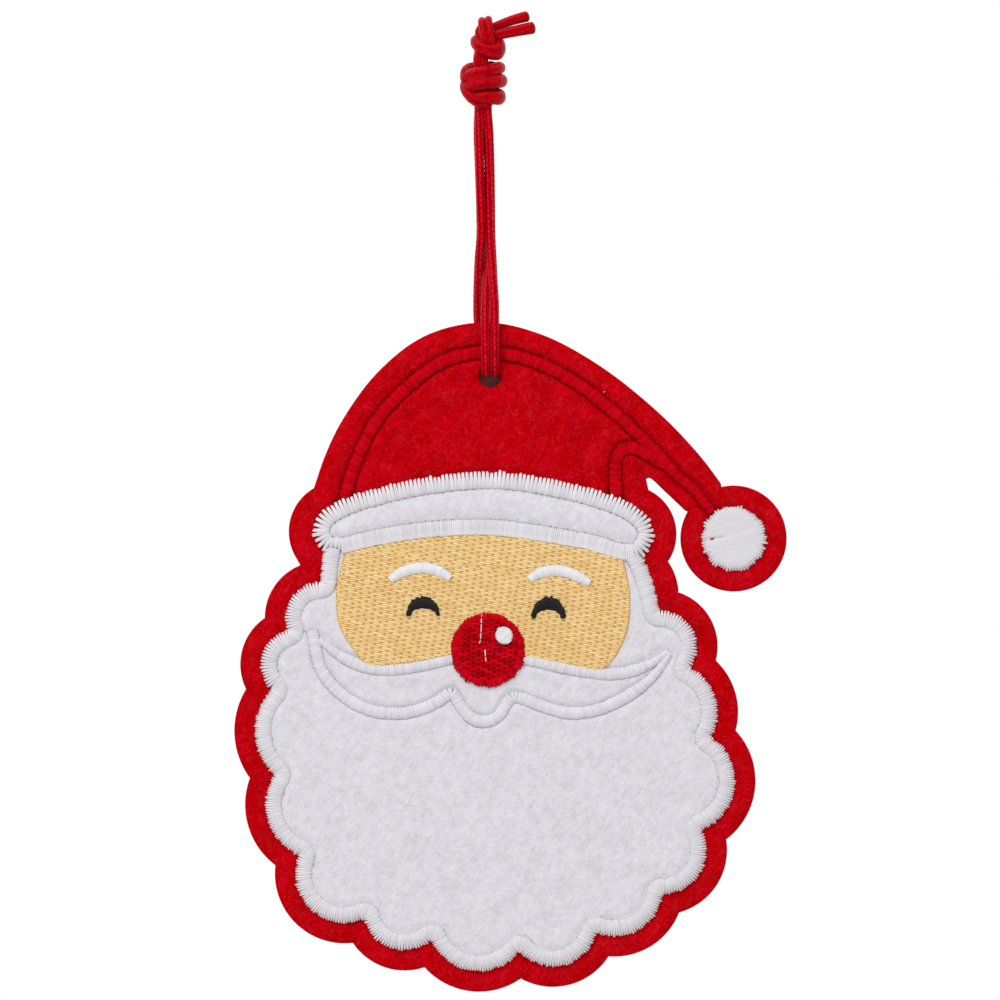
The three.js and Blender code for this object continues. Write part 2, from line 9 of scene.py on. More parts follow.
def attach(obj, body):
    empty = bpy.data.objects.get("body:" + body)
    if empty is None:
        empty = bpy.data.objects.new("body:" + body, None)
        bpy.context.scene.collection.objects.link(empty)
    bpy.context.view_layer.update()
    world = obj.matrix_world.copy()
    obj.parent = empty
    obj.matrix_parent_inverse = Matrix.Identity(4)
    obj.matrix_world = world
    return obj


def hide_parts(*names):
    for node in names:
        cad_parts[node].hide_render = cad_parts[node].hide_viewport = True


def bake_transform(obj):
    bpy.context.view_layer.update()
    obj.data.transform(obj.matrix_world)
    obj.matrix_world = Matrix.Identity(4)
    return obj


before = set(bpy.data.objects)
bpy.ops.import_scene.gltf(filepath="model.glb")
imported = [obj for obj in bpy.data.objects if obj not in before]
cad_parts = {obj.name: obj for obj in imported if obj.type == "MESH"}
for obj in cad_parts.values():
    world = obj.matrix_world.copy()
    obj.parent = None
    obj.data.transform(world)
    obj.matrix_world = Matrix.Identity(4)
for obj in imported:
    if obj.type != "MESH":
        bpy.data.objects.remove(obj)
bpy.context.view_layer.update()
scene = bpy.context.scene
scene.view_settings.view_transform = "Standard"
mm = 0.001
chance = np.random.default_rng(41)
print("frame loaded,", len(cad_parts), "CAD nodes")

# Camera: square on to the face, 0.2 mm of felt to a pixel
cameraSet = {"lens": 200, "sensor": 36, "distance": 1.1111, "aim": (0.0032, 0, -0.0784)}

camera = bpy.data.objects.new("camera", bpy.data.cameras.new("camera"))
camera.data.lens = cameraSet["lens"]
camera.data.sensor_width = cameraSet["sensor"]
camera.location = Vector(cameraSet["aim"]) - Vector((0, cameraSet["distance"], 0))
camera.rotation_euler = (math.pi / 2, 0, 0)
scene.collection.objects.link(camera)
scene.camera = camera


# Node with its settings, which are inputs or properties, and the sockets that feed its inputs
def addNode(shader, kind, links=None, **settings):
    tree = shader.id_data
    node = tree.nodes.new(kind)
    for key, value in settings.items():
        if key in node.inputs:
            node.inputs[key].default_value = value
        else:
            setattr(node, key, value)
    for key, source in (links or {}).items():
        tree.links.new(source, node.inputs[key])
    return node


# Link from a socket to an input of a node
def join(shader, source, socket):
    shader.id_data.links.new(source, shader.inputs[socket])


# Light: a white room and one broad lamp above, a little to the left. Seen straight, in a shine or
# through something, the room is plain white
lightSet = {
    "room": 0.63, "lampPower": 8.9, "lampSize": 0.5, "lampAt": (-0.32, -0.88, 0.9), "aim": (0, 0, -0.1),
}

world = bpy.data.worlds.new("room")
world.use_nodes = True
scene.world = world
world.node_tree.nodes.clear()
output = world.node_tree.nodes.new("ShaderNodeOutputWorld")
shown, lit = (
    addNode(output, "ShaderNodeBackground", Color=(1, 1, 1, 1), Strength=strength).outputs[0]
    for strength in (1, lightSet["room"])
)
rays = addNode(output, "ShaderNodeLightPath").outputs
seen = rays["Is Camera Ray"]
for kind in ("Is Glossy Ray", "Is Transmission Ray"):
    seen = addNode(output, "ShaderNodeMath", {0: seen, 1: rays[kind]}, operation="MAXIMUM").outputs[0]
choice = addNode(output, "ShaderNodeMixShader", {"Fac": seen, 1: lit, 2: shown})
join(output, choice.outputs[0], "Surface")

lamp = bpy.data.objects.new("lamp", bpy.data.lights.new("lamp", "AREA"))
lamp.data.energy = lightSet["lampPower"]
lamp.data.size = lightSet["lampSize"]
lamp.location = lightSet["lampAt"]
lamp.rotation_euler = (Vector(lightSet["aim"]) - lamp.location).to_track_quat("-Z", "Y").to_euler()
scene.collection.objects.link(lamp)


# Linear colour of a screen colour from 0 to 255: a straight toe, then a power of 2.4
def tint(red, green, blue):
    share = np.array([red, green, blue]) / 255
    linear = np.where(share <= 0.04045, share / 12.92, ((share + 0.055) / 1.055) ** 2.4)
    return (*linear, 1)


# Mesh from whole arrays: each array of faces has one row per face, with any number of corners
def addMesh(name, points, faces, material, uv=None, marks=None):
    mesh = bpy.data.meshes.new(name)
    corners = np.concatenate([f.ravel() for f in faces]).astype(np.int32)
    sizes = np.concatenate([np.full(len(f), f.shape[1]) for f in faces])
    mesh.vertices.add(len(points))
    mesh.vertices.foreach_set("co", np.ascontiguousarray(points, np.float32).ravel())
    mesh.loops.add(len(corners))
    mesh.loops.foreach_set("vertex_index", corners)
    mesh.polygons.add(len(sizes))
    mesh.polygons.foreach_set("loop_start", (np.cumsum(sizes) - sizes).astype(np.int32))
    mesh.polygons.foreach_set("use_smooth", np.ones(len(sizes), bool))
    if uv is not None:
        layer = mesh.uv_layers.new(name="along")
        layer.data.foreach_set("uv", uv[corners].astype(np.float32).ravel())
    for mark, values in (marks or {}).items():
        attribute = mesh.attributes.new(mark, "FLOAT", "POINT")
        attribute.data.foreach_set("value", values.astype(np.float32))
    mesh.update(calc_edges=True)
    mesh.materials.append(material)
    piece = bpy.data.objects.new(name, mesh)
    scene.collection.objects.link(piece)
    return piece


# Corner numbers of a net of rings: every ring closes on itself
def ringFaces(rings, sides):
    here = np.arange(rings - 1)[:, None] * sides + np.arange(sides)
    beside = np.arange(rings - 1)[:, None] * sides + (np.arange(sides) + 1) % sides
    return np.stack([here, beside, beside + sides, here + sides], -1).reshape(-1, 4)


# A node's name in the style of the pieces: cord_tail_upper becomes cordTailUpper
def pieceName(node):
    first, *rest = node.split("_")
    return first + "".join(word.capitalize() for word in rest)


# A piece takes the place of its CAD nodes and rides on its body, if it has any
def dress(piece, body, slot, *nodes):
    if nodes:
        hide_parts(*nodes)
    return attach(piece, body) if body else piece


# Smooth line through points: a cubic between each two, with slopes that weigh the neighbours by
# the root of their distance
def smoothLine(points, steps, closed=False):
    p = np.asarray(points, float)
    if closed:
        before, start, end, after = np.roll(p, 1, 0), p, np.roll(p, -1, 0), np.roll(p, -2, 0)
    else:
        longer = np.vstack([2 * p[0] - p[1], p, 2 * p[-1] - p[-2]])
        before, start, end, after = longer[:-3], longer[1:-2], longer[2:-1], longer[3:]
    before, start, end, after = (q[:, None, :] for q in (before, start, end, after))
    reach = lambda a, b: np.sqrt(np.linalg.norm(b - a, axis=2, keepdims=True))
    d0, d1, d2 = reach(before, start), reach(start, end), reach(end, after)
    leave = ((start - before) / d0 - (end - before) / (d0 + d1) + (end - start) / d1) * d1
    arrive = ((end - start) / d1 - (after - start) / (d1 + d2) + (after - end) / d2) * d1
    t = np.linspace(0, 1, steps, endpoint=False)[None, :, None]
    line = (2 * t**3 - 3 * t**2 + 1) * start + (t**3 - 2 * t**2 + t) * leave
    line = line + (3 * t**2 - 2 * t**3) * end + (t**3 - t**2) * arrive
    line = line.reshape(-1, p.shape[1])
    return line if closed else np.vstack([line, p[-1]])


# Length run up to each point of a line: the sum of the stretches before it
def runningLength(points):
    return np.concatenate([[0], np.cumsum(np.linalg.norm(np.diff(points, axis=0), axis=1))])


# Points of a line at given running lengths; twin lines can share the run of another
def pointsAt(points, run, at):
    return np.stack([np.interp(at, run, points[:, k]) for k in range(points.shape[1])], 1)


# The same line with points at even steps of about the spacing
def evenLine(points, spacing):
    run = runningLength(points)
    return pointsAt(points, run, np.linspace(0, run[-1], int(round(run[-1] / spacing)) + 1))


# Vectors divided by their own lengths
def unit(vectors):
    return vectors / np.linalg.norm(vectors, axis=-1, keepdims=True)


# Directions turned a quarter to the right
def rightOf(way):
    return way @ np.array([[0, -1], [1, 0]])


# Distance of each point from a centre
def distanceTo(centre, points):
    return np.linalg.norm(points - centre, axis=-1)


# Line that comes back to its start
def closedLine(line):
    return np.vstack([line, line[:1]])


# Closed outline with points at even steps, the start given once
def evenOutline(line, spacing):
    return evenLine(closedLine(line), spacing)[:-1]


# Points at shares of the way from each first point to its second
def between(first, second, share):
    return first[:, None] + (second - first)[:, None] * share[..., None]


# Bell: a height times the exponential of minus the square of the distance from its middle, in reaches
def bell(distance, height, middle, reach):
    return height * np.exp(-(((distance - middle) / reach) ** 2))


# Material of one plain shader, with its roughness, its shine and the tint of its reflection
def newMaterial(name, roughness, specular=0.0, reflection=(1, 1, 1, 1)):
    material = bpy.data.materials.new(name)
    material.use_nodes = True
    shader = material.node_tree.nodes["Principled BSDF"]
    shader.inputs["Roughness"].default_value = roughness
    shader.inputs["Specular IOR Level"].default_value = specular
    shader.inputs["Specular Tint"].default_value = reflection
    return material, shader


# Place in the object's own frame, in metres
def objectPlace(shader):
    return addNode(shader, "ShaderNodeTexCoord").outputs["Object"]


# Soft random field round one half; the scale is in features to a unit of the place
def noise(shader, place, scale, detail=3.0, **settings):
    node = addNode(shader, "ShaderNodeTexNoise", {"Vector": place}, Scale=scale, Detail=detail, **settings)
    return node.outputs["Fac"]


# Shading normal tilted by the slope of a height
def addBump(shader, height, strength, distance):
    bump = addNode(shader, "ShaderNodeBump", {"Height": height}, Strength=strength, Distance=distance)
    join(shader, bump.outputs[0], "Normal")


# Straight ramps between colours, or greys given as one number, at places of a factor
def ramp(shader, factor, *stops):
    node = addNode(shader, "ShaderNodeValToRGB", {"Fac": factor})
    elements = node.color_ramp.elements
    while len(elements) < len(stops):
        elements.new(0.5)
    for element, (place, colour) in zip(elements, stops):
        element.position = place
        element.color = colour if isinstance(colour, tuple) else (colour, colour, colour, 1)
    return node.outputs["Color"]


# Blend of two colours; the share and each colour may be a socket or a plain value
def blendColours(shader, share, first, second, way="MIX"):
    node = addNode(shader, "ShaderNodeMix", data_type="RGBA", blend_type=way)
    for key, value in (("Factor", share), ("A", first), ("B", second)):
        if isinstance(value, bpy.types.NodeSocket):
            shader.id_data.links.new(value, node.inputs[key])
        else:
            node.inputs[key].default_value = value
    return node.outputs["Result"]


# Cord: a round braid, and how it is drawn; its valley colour is painted shade in the braid's hollows, its
# shine colour a painted highlight on the beads
cordSet = {
    "radius": 0.9, "sides": 36, "spacing": 0.1,  # mm
    "steps": 40, "leastEnd": 0.02,  # points between two of a route, and the squared share left at an end
    "columns": 6, "bead": 1.02, "beadShare": 0.45, "lean": 0.5, "wind": 0.02, "relief": 0.17, "level": 0.75,
    "knotBraid": 0.35, "knotDark": 0.08,  # relief left where the cord is drawn tight, and the painted shade that darkens it there
    "filaments": (9, 0.8, 1),  # streaks over half the girth, and in a mm of cord
    "colour": tint(196, 0, 16), "valleyPaintedShade": tint(112, 0, 4), "shine": tint(248, 18, 44),
    "roughness": 0.42, "specular": 0.3, "reflection": (1, 0.04, 0.09, 1),
}


# Braid: columns of beads run along the cord and wind slowly round it. The beads of neighbouring columns
# lean opposite ways and are half a bead apart; the height is the root of a sine across the column,
# times one less a share, plus the share times the root of a sine along it
def braidHeight(angle, along):
    across = angle * cordSet["columns"] / (2 * np.pi) + cordSet["wind"] * along
    column = np.floor(across)
    other = column % 2
    lean = cordSet["lean"] * (across - column - 0.5) * (1 - 2 * other)
    bead = np.abs(np.sin(np.pi * (along / cordSet["bead"] + lean + 0.5 * other)))
    share = cordSet["beadShare"]
    return np.sqrt(np.abs(np.sin(np.pi * across))) * (1 - share + share * np.sqrt(bead))


# Braided tube: rings round the path, wide along the guide's side and high square to it, raised by
# the braid; the ends round off as a quarter circle over a share of the half width
def braidedTube(path, guide, wide=cordSet["radius"], high=None, closed=False, rounding=0.7, braid=1.0):
    count, sides = len(path), cordSet["sides"]
    wide = np.broadcast_to(wide, count)[:, None, None]
    high = wide if high is None else np.broadcast_to(high, count)[:, None, None]
    run = runningLength(path)
    if closed:
        way = unit(np.roll(path, -1, 0) - np.roll(path, 1, 0))
    else:
        way = unit(np.gradient(path, axis=0))
    side = unit(guide - np.sum(guide * way, 1, keepdims=True) * way)
    up = np.cross(way, side)
    angle = 2 * np.pi * np.arange(sides) / sides
    height = braid * (braidHeight(angle[None, :], run[:, None]) - cordSet["level"])
    swell = 1 + cordSet["relief"] * height
    if not closed:
        inset = np.clip(np.minimum(run, run[-1] - run) / (rounding * wide[:, 0, 0]), 0, 1)
        swell = swell * np.sqrt(np.maximum(1 - (1 - inset) ** 2, cordSet["leastEnd"]))[:, None]
    across = wide * np.cos(angle)[:, None] * side[:, None] + high * np.sin(angle)[:, None] * up[:, None]
    ring = path[:, None] + swell[..., None] * across
    faces = [ringFaces(count, sides)]
    last = (count - 1) * sides + np.arange(sides)
    if closed:
        faces.append(np.stack([last, np.roll(last, -1), np.roll(np.arange(sides), -1), np.arange(sides)], -1))
    else:
        faces.append(np.arange(sides)[None, ::-1])
        faces.append(last[None])
    uv = np.stack(np.broadcast_arrays(np.abs(angle / np.pi - 1)[None, :], run[:, None]), -1)
    # knots start lower on the colour ramp: painted shade where the cord is drawn tight
    level = cordSet["level"] - (0 if braid == 1 else cordSet["knotDark"])
    return ring.reshape(-1, 3), faces, uv.reshape(-1, 2), level + height.ravel()


# Cord drawn tight in a knot
def knotTube(path, guide, wide, high=None, **shape):
    return braidedTube(path, guide, wide, high, braid=cordSet["knotBraid"], **shape)


# One piece of several braided tubes, which stands for a node and rides on a body, if it has any
def cordPiece(node, body, *tubes):
    points, rings, uv, height = zip(*tubes)
    bases = np.cumsum([0] + [len(p) for p in points])
    faces = [f + base for base, group in zip(bases, rings) for f in group]
    marks = {"relief": np.concatenate(height)}
    piece = addMesh(pieceName(node), np.vstack(points) * mm, faces, redCord, np.vstack(uv), marks)
    return dress(piece, body, "red_cord", node)


# Middle line of a cord: smooth through its points, at even steps
def cordLine(points):
    return evenLine(smoothLine(points, cordSet["steps"]), cordSet["spacing"])


redCord, shader = newMaterial("redCord", cordSet["roughness"], cordSet["specular"], cordSet["reflection"])
relief = addNode(shader, "ShaderNodeAttribute", attribute_name="relief").outputs["Fac"]
alongCord = addNode(shader, "ShaderNodeUVMap", uv_map="along").outputs[0]
drawnOut = addNode(shader, "ShaderNodeMapping", {"Vector": alongCord}, Scale=cordSet["filaments"]).outputs[0]
filaments = noise(shader, drawnOut, scale=1.0, detail=4.0)
# Colour by the braid's relief: painted shade low in the hollows, a painted highlight high on the beads
braidPaintedLight = ramp(
    shader, relief, (0.25, cordSet["valleyPaintedShade"]), (0.65, cordSet["colour"]), (0.97, cordSet["shine"]),
)
shade = ramp(shader, filaments, (0.36, 0.5), (0.64, 1.0))
join(shader, blendColours(shader, 1, braidPaintedLight, shade, "MULTIPLY"), "Base Color")
addBump(shader, filaments, strength=0.4, distance=0.0001)

# The two loops: down the front, through the hole, up the back; mm, close to the CAD routes, with
# their tops carried on into the knot
bendSet = {"x": 1.2, "offset": 0.93, "radius": 3.85, "z": -49.1, "sway": (-0.5, -14)}
loopRoutes = {
    "cord_loop_left": {
        "side": -1,
        "front": [
            (0.75, 1, 1.2), (0.65, 1, -0.74), (0.45, 0.95, -4.5), (0.91, 1, -9.5), (1, 0.95, -18),
            (1.1, 0.7, -27), (0.9, 0.4, -31), (0.7, -0.6, -34), (0.45, -1.7, -37), (0.3, -2.9, -40.5),
            (0.26, -3.6, -45),
        ],
        "back": [
            (-0.4, 3.8, -46), (-1.15, 3.4, -42.5), (-1.25, 2.5, -39), (-1.2, 1.4, -36), (-1.1, 0.4, -33),
            (-0.95, -0.4, -30), (-0.6, -0.9, -25), (-0.72, -1, -18), (-0.88, -1, -8), (-0.97, -1, -0.74),
            (-0.95, -1, 1.2),
        ],
    },
    "cord_loop_right": {
        "side": 1,
        "front": [
            (0.75, -1, 1.2), (0.7, -1, -0.4), (0.95, -1, -4), (1.15, -1, -9), (1.3, -1.05, -18),
            (1.4, -1.35, -26), (1.65, -1.9, -31), (1.85, -2.7, -35), (2.1, -3.3, -39), (2.15, -3.7, -44),
        ],
        "back": [
            (2.1, 3.8, -46), (1.7, 3.4, -42), (0.9, 3, -37), (0, 2.6, -32), (-0.5, 1.9, -26),
            (-0.74, 1.2, -18), (-1.05, 1, -10), (-1.2, 1, -4.5), (-1.05, 1, -0.74), (-1, 1, 1.2),
        ],
    },
}

loops = {}
loopPaths = {}
half = np.pi * np.array([0, 0.25, 0.5, 0.75, 1])
for node, route in loopRoutes.items():
    bend = np.stack([
        np.full(len(half), bendSet["x"] + route["side"] * bendSet["offset"]),
        -bendSet["radius"] * np.cos(half),
        bendSet["z"] - bendSet["radius"] * np.sin(half),
    ], 1)
    line = cordLine(np.vstack([route["front"], bend, route["back"]]))
    loop = cordPiece(node, None, braidedTube(line, np.array([[1.0, 0, 0]])))
    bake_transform(loop)
    loops[node], loopPaths[node] = loop, line * mm
print("cord loops", [round(float(runningLength(p)[-1]), 4) for p in loopPaths.values()], "m")

# Barrel knot: the winding climbs to the right over the gathered strands, thick below and thin
# above; one turn slips over its upper left side and one crosses below
barrelSet = {
    "radius": 3.55, "drawnIn": 1.0, "start": 1.2 * np.pi, "turns": 2.72, "steps": 720, "wide": 1.16,
    "heightAt": (0, 0.055, 0.423, 0.79, 1), "height": (1.6, 1.96, 4.86, 6.95, 8.2), "tilt": (-0.2, 0.22),
    "highAt": (0, 0.1, 0.3, 0.42, 0.8, 1), "high": (0.9, 1.55, 1.5, 1.36, 1.3, 1.15),
    "slip": [(-1.4, 1.9, 8.0), (-2.9, 1.0, 7.8), (-3.6, -0.4, 7.0), (-3.55, -1.5, 5.8), (-3.0, -2.2, 4.7)],
    "slipHalf": (1.15, 1.3), "crossingHalf": (0.95, 1.05),
    "crossing": [
        (-2.6, 2.2, 5.6), (-3.75, 0.6, 4.9), (-3.85, -0.9, 3.9), (-3.2, -2.1, 2.6), (-2.1, -2.7, 1.5),
        (-0.9, -2.3, 0.9), (0.2, -1.2, 0.8),
    ],
    "core": 1.35, "coreUp": (0.3, 9.4), "twist": 0.9, "coreSteps": 60, "neck": 0.85,
}


# Winding: a helix whose radius is least at both ends and swells as the root of a sine between; its
# height grows in straight stretches, and tilts with the place across, more and more on the way up
def windingPath():
    share = np.linspace(0, 1, barrelSet["steps"])
    angle = barrelSet["start"] + 2 * np.pi * barrelSet["turns"] * share
    radius = barrelSet["radius"] - barrelSet["drawnIn"] * (1 - np.sqrt(np.sin(np.pi * share)))
    across, deep = radius * np.cos(angle), radius * np.sin(angle)
    tilt = np.interp(share, (0, 1), barrelSet["tilt"])
    height = np.interp(share, barrelSet["heightAt"], barrelSet["height"]) + tilt * across
    return evenLine(np.stack([across, deep, height], 1), cordSet["spacing"])


# Directions straight out from the knot's upright axis
def outwards(line):
    return line * np.array([1, 1, 0])


winding = windingPath()
windingHigh = np.interp(np.linspace(0, 1, len(winding)), barrelSet["highAt"], barrelSet["high"])
slip, crossing = cordLine(barrelSet["slip"]), cordLine(barrelSet["crossing"])
barrel = cordPiece(
    "barrel_knot", "hanger",
    knotTube(winding, outwards(winding), barrelSet["wide"], windingHigh),
    knotTube(slip, outwards(slip), *barrelSet["slipHalf"]),
    knotTube(crossing, outwards(crossing), *barrelSet["crossingHalf"]),
)

strandTurn = np.linspace(0, barrelSet["twist"], barrelSet["coreSteps"])
strandUp = np.linspace(*barrelSet["coreUp"], barrelSet["coreSteps"])
core = []
for quarter in np.pi * np.array([0.25, 0.75, 1.25, 1.75]):
    spread = np.stack([np.cos(strandTurn + quarter), np.sin(strandTurn + quarter)], 1)
    core.append(evenLine(np.column_stack([barrelSet["core"] * spread, strandUp]), cordSet["spacing"]))
necks = [
    [(-1.2, -1.0, 6.8), (-1.35, -1.5, 8.6), (-1.25, -1.5, 10.2), (-0.9, -0.9, 11.8)],
    [(0.1, -0.8, 6.8), (0, -1.3, 8.6), (0.1, -1.3, 10.4), (0.3, -0.8, 11.8)],
]
intoDepth = np.array([[0, 1.0, 0]])
knotCore = cordPiece(
    "knot_core", "hanger",
    *[braidedTube(strand, intoDepth) for strand in core],
    *[knotTube(cordLine(neck), intoDepth, barrelSet["neck"]) for neck in necks],
)

# End knot: a thick saddle, and the doubled cord that rises out of it and turns over to the back
endSet = {
    "saddle": [
        (0.6, 1.9, 13.2), (-1.0, 1.3, 13.6), (-1.5, -0.2, 13.2), (-0.8, -1.65, 12.1), (0.9, -2.1, 11.2),
        (2.5, -1.6, 11.2), (3.1, 0, 12.1), (2.3, 1.5, 12.9),
    ],
    "middle": 0.7, "wide": 1.25, "high": 1.3, "growth": 0.12,  # thicker to the right
    "arches": [
        [(0.4, -1.3, 11.9), (0.15, -2.4, 13.4), (-0.2, -2.1, 15.4), (-0.42, -1.2, 17.0), (-0.4, 0.3, 17.3),
         (-0.4, 1.3, 15.8), (0, 1.4, 13.4)],
        [(1.3, -1.2, 11.8), (1.4, -2.5, 13.2), (1.15, -2.3, 15.4), (0.9, -1.2, 17.3), (0.9, 0.4, 17.5),
         (0.9, 1.3, 15.8), (0.8, 1.4, 13.4)],
        [(-0.3, 0.6, 16.4), (-1.0, 0.1, 15.4), (-0.95, -0.4, 14.2), (-0.4, -0.6, 13.2)],
    ],
    "archWide": 0.78, "archHigh": 0.85,
}
saddle = evenOutline(smoothLine(endSet["saddle"], cordSet["steps"], closed=True), cordSet["spacing"])
saddleHigh = endSet["high"] + endSet["growth"] * (saddle[:, 0] - saddle[:, 0].min())
saddleOut = outwards(saddle) - np.array([[endSet["middle"], 0, 0]])
endKnot = cordPiece(
    "end_knot", "hanger",
    knotTube(saddle, saddleOut, endSet["wide"], saddleHigh, closed=True),
    *[
        knotTube(cordLine(arch), np.array([[1.0, 0, 0.05]]), endSet["archWide"], endSet["archHigh"])
        for arch in endSet["arches"]
    ],
)

# Tails: the cut ends swell where the braid loosens
tailRoutes = {
    "cord_tail_upper": {
        "line": [
            (0.6, 0.7, 15.7), (2.3, 0.7, 16.35), (4.6, 0.5, 17.2), (6.6, 0.35, 17.85), (9.1, 0.2, 18.45),
        ],
        "half": (0.85, 1.12),
    },
    "cord_tail_lower": {
        "line": [
            (0.9, -0.4, 14.2), (2.45, -0.75, 14.5), (5.5, -0.85, 15.15), (8, -0.9, 15.65), (10.3, -1, 16.05),
        ],
        "half": (0.95, 1.26),
    },
}
for node, route in tailRoutes.items():
    line = cordLine(route["line"])
    high = np.linspace(*route["half"], len(line))
    tube = knotTube(line, intoDepth, cordSet["radius"], high, rounding=0.8)
    cordPiece(node, "hanger", tube)
for number, node in enumerate(loopRoutes):
    line = loopPaths[node]
print("knots and tails")

# Felt frame: u right, v up and h towards the viewer, in mm from the felt's own origin
feltShift, feltDrop = 0.9, 53.6


# Places in the felt frame as places in the model, in metres
def feltToWorld(points):
    u, v, h = points[..., 0], points[..., 1], points[..., 2]
    return np.stack([u + feltShift, -h, v - feltDrop], -1).reshape(-1, 3) * mm


# Outlines in the felt frame, close to the CAD's; the beard's rows are cusps and the bulge that follows
beardEdge = np.array([
    (-32.4, -33, 0.2), (-33.5, -41.2, 3), (-40.1, -50.8, 3.6), (-43.3, -62.7, 3.6), (-42.7, -79.7, 3.9),
    (-37.8, -95.8, 6.1), (-24.8, -108.4, 3.9), (-11.4, -112.7, 5), (6.2, -115, 4.7), (21.6, -111.2, 3.7),
    (34.8, -103.5, 4.2), (42.5, -90.7, 5.7), (44.4, -72.1, 3.1), (40.2, -58.3, 4.1), (34.1, -46.9, 0.5),
    (30.2, -35, 0),
])
rightShoulder = [(35.9, -37.1), (32, -22.8), 3.4]
leftShoulder = [(-34.9, -22.4), (-37.9, -37.2), 3.4]
rightCheek, cheekBulge = (38, -42.9), 0.4
tailUnderside = [(31.5, -20.6), (32.2, -20.4), (35.4, -23.2), (39.2, -26.8)]
hatEdge = [
    (46.4, -21.4), (42.3, -16), (34.3, -7.6), (22.3, 2), (10.3, 8.4), (-1, 10.7), (-12.7, 8), (-22.1, 0.8),
    (-29.2, -8.8), (-32.7, -16),
]
trimEdge = [
    (-35.1, -31.2), (-33.1, -34.9), (-28.9, -35.6), (-24.5, -34.5), (-12.5, -32.5), (0.5, -32), (9.3, -33.1),
    (20.3, -35), (26.6, -36.8), (30.6, -36.4), (33.2, -32), (32.2, -28.6), (28.4, -25.5), (20.7, -22.6),
    (8.7, -20), (-0.7, -19.2), (-14, -20.6), (-22.4, -22.5), (-29.1, -24.7), (-33.7, -27.6),
]
faceEdge = [
    (-28.8, -35.9), (-30.3, -41.7), (-30.4, -45.3), (-29.8, -49.7), (-27.9, -53.3), (-24.3, -57.4),
    (-19.7, -57.6), (-13.1, -56.8), (-7.7, -55.8), (7.1, -55.8), (15.6, -57.5), (22.3, -58.6), (24.8, -56.8),
    (27.6, -51.2), (28.3, -46.1), (28, -41.5), (26.9, -36.9),
]
noseAt, noseRadius = np.array([-0.1, -54.7]), 7.5
highlightAt, highlightRadius = np.array([3.1, -51.8]), 1.75
pompomAt, pompomRadius, pompomMargin = np.array([49, -32.5]), 6.4, 4.2
holeAt, holeRadius = np.array([0.3, -0.15]), 2.2
feltMargin, borderWidth, trimBorderWidth, moustacheWidth = 4.2, 3.3, 3.4, 2.5
moustacheLines = {
    "moustache_upper_left": [
        (-33.8, -52.6), (-30.5, -55.2), (-28, -56.7), (-24.5, -58.1), (-19.9, -58.6), (-13.7, -57.8),
        (-6, -56),
    ],
    "moustache_upper_right": [
        (5, -55.9), (15.6, -58.3), (22.7, -59.4), (26.6, -59.3), (30.4, -58.3), (33.7, -56.6), (35.8, -55),
    ],
    "moustache_lower": [
        (-35.2, -50.8), (-34.5, -54.3), (-33.6, -58.2), (-30.6, -62.4), (-26.6, -65.4), (-22.4, -67),
        (-17.7, -67.3), (-13.5, -66.5), (-9.8, -64.8), (-7.4, -63.2), (-6.2, -64.6), (-5, -66.7),
        (-3.2, -68.4), (-1.1, -69), (0.9, -68.6), (2.4, -67.3), (3.6, -65.3), (4.9, -64.1), (7.5, -64.6),
        (10.4, -65.8), (16.5, -67.3), (22.7, -66.3), (29.1, -63), (33.5, -59.2), (36.2, -55.4),
    ],
}
ridgeLine = [
    (-29.2, -26), (-26.6, -17.4), (-22, -8.4), (-15.2, -1.4), (-9.2, 2.8), (-2.6, 4.6), (4, 4.3), (11.3, 2),
    (20.6, -3.6), (31.7, -13.4), (38, -20.2), (41.4, -23), (44.6, -27.2),
]
foldLine = [
    (25.7, -26), (25.3, -19.4), (25.7, -16), (27.3, -14.4), (29.5, -14.5), (31.4, -15.4), (33.4, -16.7),
    (35.9, -18.3), (38.3, -20.4),
]
ridgeWidth = 2.8


# Angle of the way from a centre to a point
def angleTo(centre, point):
    return np.arctan2(point[..., 1] - centre[..., 1], point[..., 0] - centre[..., 0])


# Points on a circle: the centre, and the radius times the cosine and sine of the angle
def onCircle(centre, radius, angle):
    return centre + np.asarray(radius)[..., None] * np.stack([np.cos(angle), np.sin(angle)], -1)


# Angle past another one, by less than a turn
def past(start, angle):
    return start + np.mod(angle - start, 2 * np.pi)


# Closed circle of evenly spaced points
def disc(centre, radius, count=96):
    return onCircle(centre, np.full(count, radius), 2 * np.pi * np.arange(count) / count)


# Circle of the arc between two points that bulges to the right of the way
def circleThrough(start, end, bulge):
    chord = end - start
    length = np.linalg.norm(chord, axis=-1)
    radius = (length**2 / 4 + bulge**2) / (2 * bulge)
    back = ((radius - bulge) / length)[..., None]
    return (start + end) / 2 + np.stack([-chord[..., 1], chord[..., 0]], -1) * back, radius


# Arc from a start to an end, on the circle that the bulge gives
def bulgedArc(start, end, bulge, steps):
    start, end = np.array(start, float), np.array(end, float)
    centre, radius = circleThrough(start, end, bulge)
    first = angleTo(centre, start)
    angle = np.linspace(first, past(first, angleTo(centre, end)), steps)
    return onCircle(centre, np.full(steps, radius), angle)


cusps = beardEdge[:, :2]
lobeCentre, lobeRadius = circleThrough(cusps[:-1], cusps[1:], beardEdge[:-1, 2])


